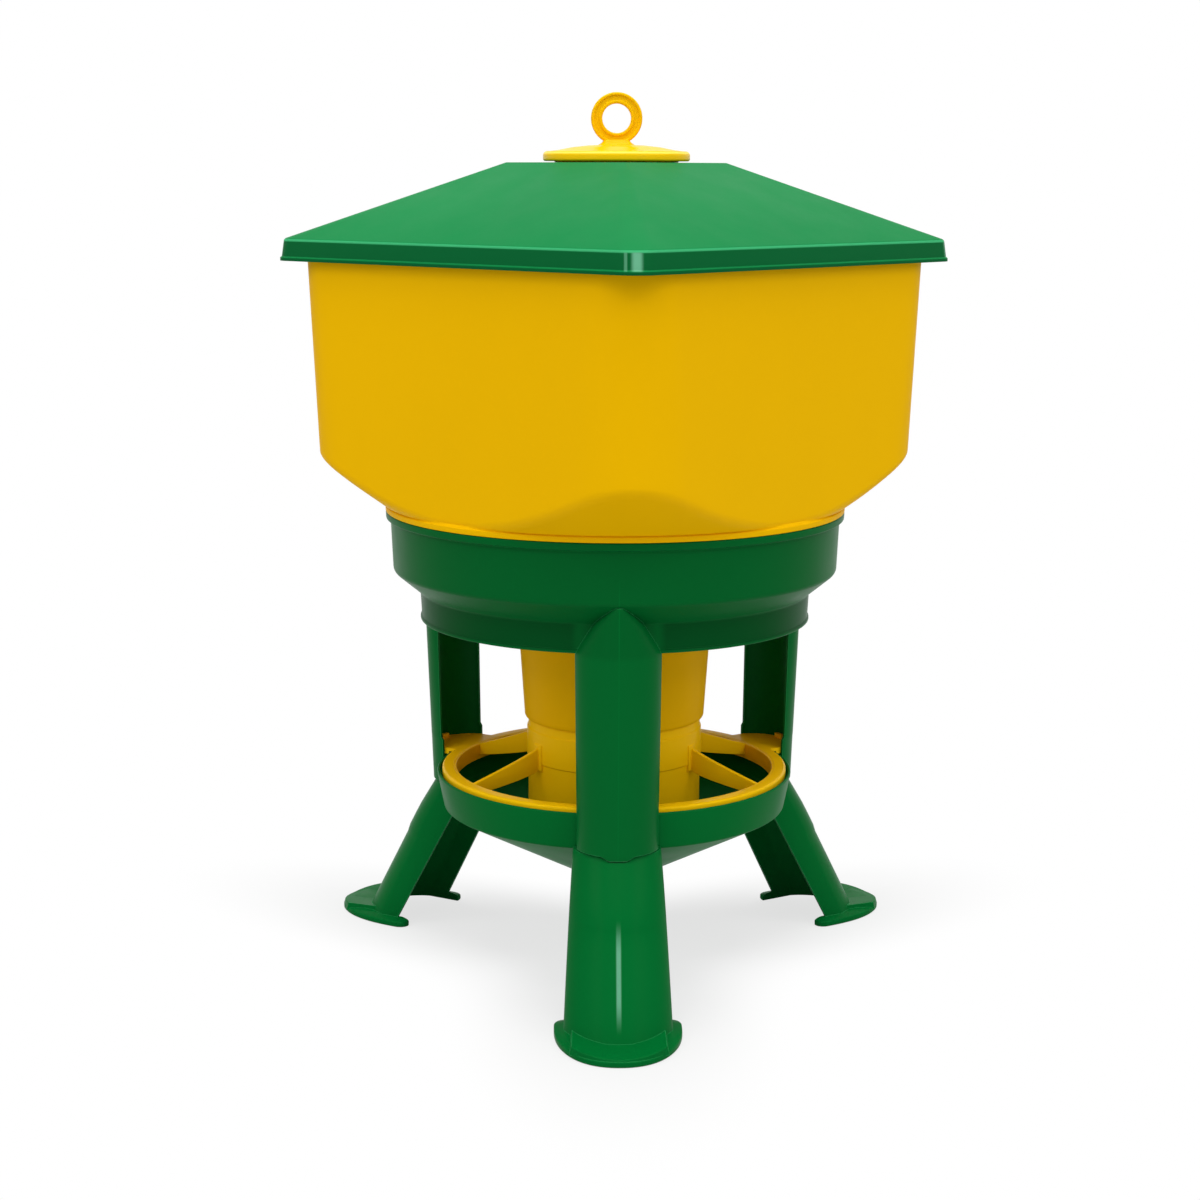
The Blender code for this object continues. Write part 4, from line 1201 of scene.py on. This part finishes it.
def foot_pad(sizes):
    """Pad with a rounded rim that thickens towards the channel's walls."""
    thick = sizes.pad_thickness
    profile = rounded(
        [(-0.0012, 0.0), (0.0, 0.0012), (0.0, thick), (-0.0100, PAD_INNER_Z)],
        [0, 0.0006, 0.0018, 0],
        5,
    )
    return loft("foot_pad", [pad_ring(sizes, grow, z) for grow, z in profile])


def foot_band(sizes):
    """Raised band across the pad's front, with steps at its ends and a soft front ridge."""
    low, back = sizes.pad_thickness - 0.002, PAD_BACK + 0.03
    rings = []
    for k in range(41):
        share = abs(k / 20 - 1)
        y = BAND_HALF * (k / 20 - 1)
        front = PAD_CENTRE + pad_front(sizes.pad_half_width, sizes.pad_reach, y) - 0.0008
        ridge = between(BAND_TOP, share**1.4)
        outline = rounded(
            [(back, low), (front, low), (front - 0.0006, ridge), (back, ridge + 0.0025 * share)],
            [0, 0, 0.0016, 0],
            4,
        )
        lean = BAND_LEAN * (1 if y > 0 else -1) * share**16
        rings.append([(x, y + lean * (ridge - z) / ridge, z) for x, z in outline])
    return loft("foot_band", rings)


def pan_seat(sizes):
    """The pan's outer form plus the fit gap, with all the room above it."""
    rim = PAN_HIGH.z
    radius = sizes.radius + GAP
    band_r, band_z = sizes.radius - PAN_TAPER + GAP, rim - sizes.band - GAP
    valley_z = band_z - (band_r - PAN_VALLEY_RADIUS) * PAN_FLOOR_SLOPE
    outline = [
        (0, valley_z),
        (PAN_VALLEY_RADIUS, valley_z),
        (band_r, band_z),
        (radius, rim),
        (radius, rim + 0.05),
        (0, rim + 0.05),
    ]
    return turned("pan_seat", outline)


class FEEDER_OT_stage(bpy.types.Operator):
    """Set the white studio: floor, soft lights and the camera at the photograph's angle"""

    bl_idname = "feeder.stage"
    bl_label = "Studio"

    def execute(self, context):
        scene = context.scene
        scene.view_settings.view_transform = "Standard"
        white_world()
        start_fresh()
        bpy.ops.mesh.primitive_grid_add(
            x_subdivisions=8, y_subdivisions=8, size=14, location=(0, 0, -0.0004)
        )
        floor = named("studio_floor")
        floor.data.transform(floor.matrix_world)
        floor.matrix_world = Matrix.Identity(4)
        floor.data.materials.append(studio_floor(tuple(scene.feeder_colours.floor_white)))
        for light in LIGHTS:
            soft_light(*light)
        photo_camera()
        return {"FINISHED"}


def soft_light(name, place, target, size, power):
    lamp = bpy.data.lights.new(name, "AREA")
    lamp.shape = "RECTANGLE"
    lamp.size, lamp.size_y = size
    lamp.energy = power
    obj = bpy.data.objects.new(name, lamp)
    bpy.context.scene.collection.objects.link(obj)
    obj.location = place
    obj.rotation_euler = (Vector(target) - Vector(place)).to_track_quat("-Z", "Y").to_euler()
    return obj


FOCAL_PIXELS = 2292.28  # focal length over a frame 1200 pixels wide
CAMERA_HEIGHT = 0.79114
CAMERA_DISTANCE = 2.27079
CAMERA_SIDE = -0.003166
CAMERA_DOWN = 0.185084
CAMERA_YAW = -0.005084
CAMERA_ROLL = 0.003043
CAMERA_ROUND = radians(-1.07)  # the front leg is seen this much from one side


def photo_camera():
    """The camera stands level with the roof, in front of the feeder, and looks a little down."""
    data = bpy.data.cameras.new("photo_camera")
    data.sensor_width = 36
    data.lens = FOCAL_PIXELS / 1200 * 36
    camera = bpy.data.objects.new("photo_camera", data)
    bpy.context.scene.collection.objects.link(camera)
    level = cos(CAMERA_DOWN)
    ahead = Vector((sin(CAMERA_YAW) * level, cos(CAMERA_YAW) * level, -sin(CAMERA_DOWN)))
    side = Vector((cos(CAMERA_YAW), -sin(CAMERA_YAW), 0))
    above = side.cross(ahead)
    right = side * cos(CAMERA_ROLL) + above * sin(CAMERA_ROLL)
    up = above * cos(CAMERA_ROLL) - side * sin(CAMERA_ROLL)
    place = (CAMERA_SIDE, -CAMERA_DISTANCE, CAMERA_HEIGHT)
    rows = [(right[i], up[i], -ahead[i], place[i]) for i in range(3)]
    camera.matrix_world = Matrix.Rotation(CAMERA_ROUND, 4, "Z") @ Matrix([*rows, (0, 0, 0, 1)])
    bpy.context.scene.camera = camera


class FEEDER_OT_finishes(bpy.types.Operator):
    """Mix the plastics of every moulding"""

    bl_idname = "feeder.finishes"
    bl_label = "Finishes"

    def execute(self, context):
        colours = context.scene.feeder_colours
        green, roof = tuple(colours.stand_green), tuple(colours.roof_green)
        tub, trim = tuple(colours.hopper_yellow), tuple(colours.trim_yellow)
        stand = moulded_plastic("stand_green", green, 0.34, 0.03)
        # Painted light: the upper legs lighter than the collar of the same moulding
        tinted(stand, below(stand, NECK_BOTTOM[1] - 0.004, NECK_BOTTOM[1] + 0.004), scaled(green, 1.14))
        # Painted shade: the neck between the legs, under the band's overhang, darker
        neck = between_heights(stand, NECK_BOTTOM[1] + 0.004, NECK_TOP[1] - 0.002, 0.004)
        between_legs = stand.spread(folded_distance(stand), 0, 1, 0.036, 0.046, smooth=True)
        tinted(stand, stand.maths("MULTIPLY", neck, between_legs), scaled(green, 0.62))
        parting_line_and_highlight(stand, scaled(green, 1.25), 0.0007, COLLAR_LOW.z, BAND_BOTTOM[1])
        # Painted highlights: a lighter green along the collar's and upper legs' edges
        painted_edge_highlights(stand, GREEN_EDGE_HIGHLIGHT, EDGE_HIGHLIGHT_WIDTH)
        # Painted light: the pan's green is a lighter copy of the stand's green
        pan = moulded_plastic("pan_green", scaled(green, 1.25), 0.36, 0.02)
        # Painted highlights: a lighter green along the pan's edges
        painted_edge_highlights(pan, GREEN_EDGE_HIGHLIGHT, EDGE_HIGHLIGHT_WIDTH)
        # Painted light: the lower legs' green is a lighter copy of the stand's green
        leg = moulded_plastic("leg_green", scaled(green, 1.22), 0.32, 0.02)
        # Painted highlight: a pale line down the crest of each lower leg
        parting_line_and_highlight(leg, scaled(GREEN_SHINE, 0.8), 0.0030, 0.045, 0.080)
        # Painted highlights: a lighter green along the lower legs' edges
        painted_edge_highlights(leg, GREEN_EDGE_HIGHLIGHT, EDGE_HIGHLIGHT_WIDTH)
        sheet = moulded_plastic("roof_green", roof, 0.42, 0.02)
        fold = LID_LOW.z + SKIRT_TOP
        # Painted shade: the upright skirt darker than the sloping roof of the same sheet
        tinted(sheet, below(sheet, fold - 0.0035, fold - 0.0005), scaled(roof, 0.60))
        # Painted highlight: a lighter line along the fold between the slopes and the skirt
        tinted(sheet, at_height(sheet, fold - 0.0012, 0.0016), ROOF_FOLD_HIGHLIGHT)
        # Painted highlight: a line of the full roof tone along the skirt's lower lip, lighter than the
        # shaded skirt
        tinted(sheet, at_height(sheet, LID_LOW.z + 0.0036, 0.0012), roof)
        # Painted highlight: bright upright streaks down the roof's corners
        painted_corner_highlights(sheet, GREEN_SHINE, LID_LOW.z + 0.0045, fold - 0.003)
        moulded_plastic("hopper_yellow", tub, 0.44, 0.02, mottle=0.015)
        cap = moulded_plastic("cap_yellow", scaled(trim, 0.86), 0.28, 0.05, mottle=0.01, grain=0.000008)
        # Painted light: the cap's seat and upright rim lighter than its top
        side = between_heights(cap, LID_HIGH.z, LID_HIGH.z + 0.0086, 0.0006)
        tinted(cap, side, CAP_SIDE_PAINTED_LIGHT)
        # Painted highlight: a pale line just under the rim's top edge
        tinted(cap, at_height(cap, LID_HIGH.z + GAP + 0.0088, 0.0012), CAP_SHINE)
        moulded_plastic("grill_yellow", GRILL_YELLOW, 0.32, 0.03, mottle=0.02)
        return {"FINISHED"}


class FEEDER_PT_sidebar(bpy.types.Panel):
    """Buttons for each step, then the sizes and colours"""

    bl_idname = "FEEDER_PT_sidebar"
    bl_label = "Poultry feeder"
    bl_space_type = "VIEW_3D"
    bl_region_type = "UI"
    bl_category = "Feeder"

    def draw(self, context):
        layout = self.layout
        for step in STEPS:
            layout.operator(step.bl_idname)
        for group in SETTINGS:
            box = layout.box()
            values = getattr(context.scene, group)
            for name in values.bl_rna.properties.keys():
                if name not in {"rna_type", "name"}:
                    box.prop(values, name)


SETTINGS = {
    "feeder_roof": FeederRoofSizes,
    "feeder_hopper": FeederHopperSizes,
    "feeder_stand": FeederStandSizes,
    "feeder_pan": FeederPanSizes,
    "feeder_colours": FeederColours,
}
STEPS = [
    FEEDER_OT_stage,
    FEEDER_OT_finishes,
    FEEDER_OT_collar,
    FEEDER_OT_feet,
    FEEDER_OT_pan,
    FEEDER_OT_grill,
    FEEDER_OT_hopper,
    FEEDER_OT_roof,
    FEEDER_OT_cap,
]


def register():
    for group in SETTINGS.values():
        bpy.utils.register_class(group)
    for step in STEPS:
        bpy.utils.register_class(step)
    bpy.utils.register_class(FEEDER_PT_sidebar)
    for name, group in SETTINGS.items():
        setattr(bpy.types.Scene, name, PointerProperty(type=group))


def unregister():
    for name in SETTINGS:
        delattr(bpy.types.Scene, name)
    bpy.utils.unregister_class(FEEDER_PT_sidebar)
    for step in reversed(STEPS):
        bpy.utils.unregister_class(step)
    for group in reversed(list(SETTINGS.values())):
        bpy.utils.unregister_class(group)


def main():
    register()
    bpy.ops.feeder.stage()
    bpy.ops.feeder.finishes()
    bpy.ops.feeder.collar()
    bpy.ops.feeder.feet()
    bpy.ops.feeder.pan()
    bpy.ops.feeder.grill()
    bpy.ops.feeder.hopper()
    bpy.ops.feeder.roof()
    bpy.ops.feeder.cap()
    start_fresh()


if __name__ == "__main__":
    main()
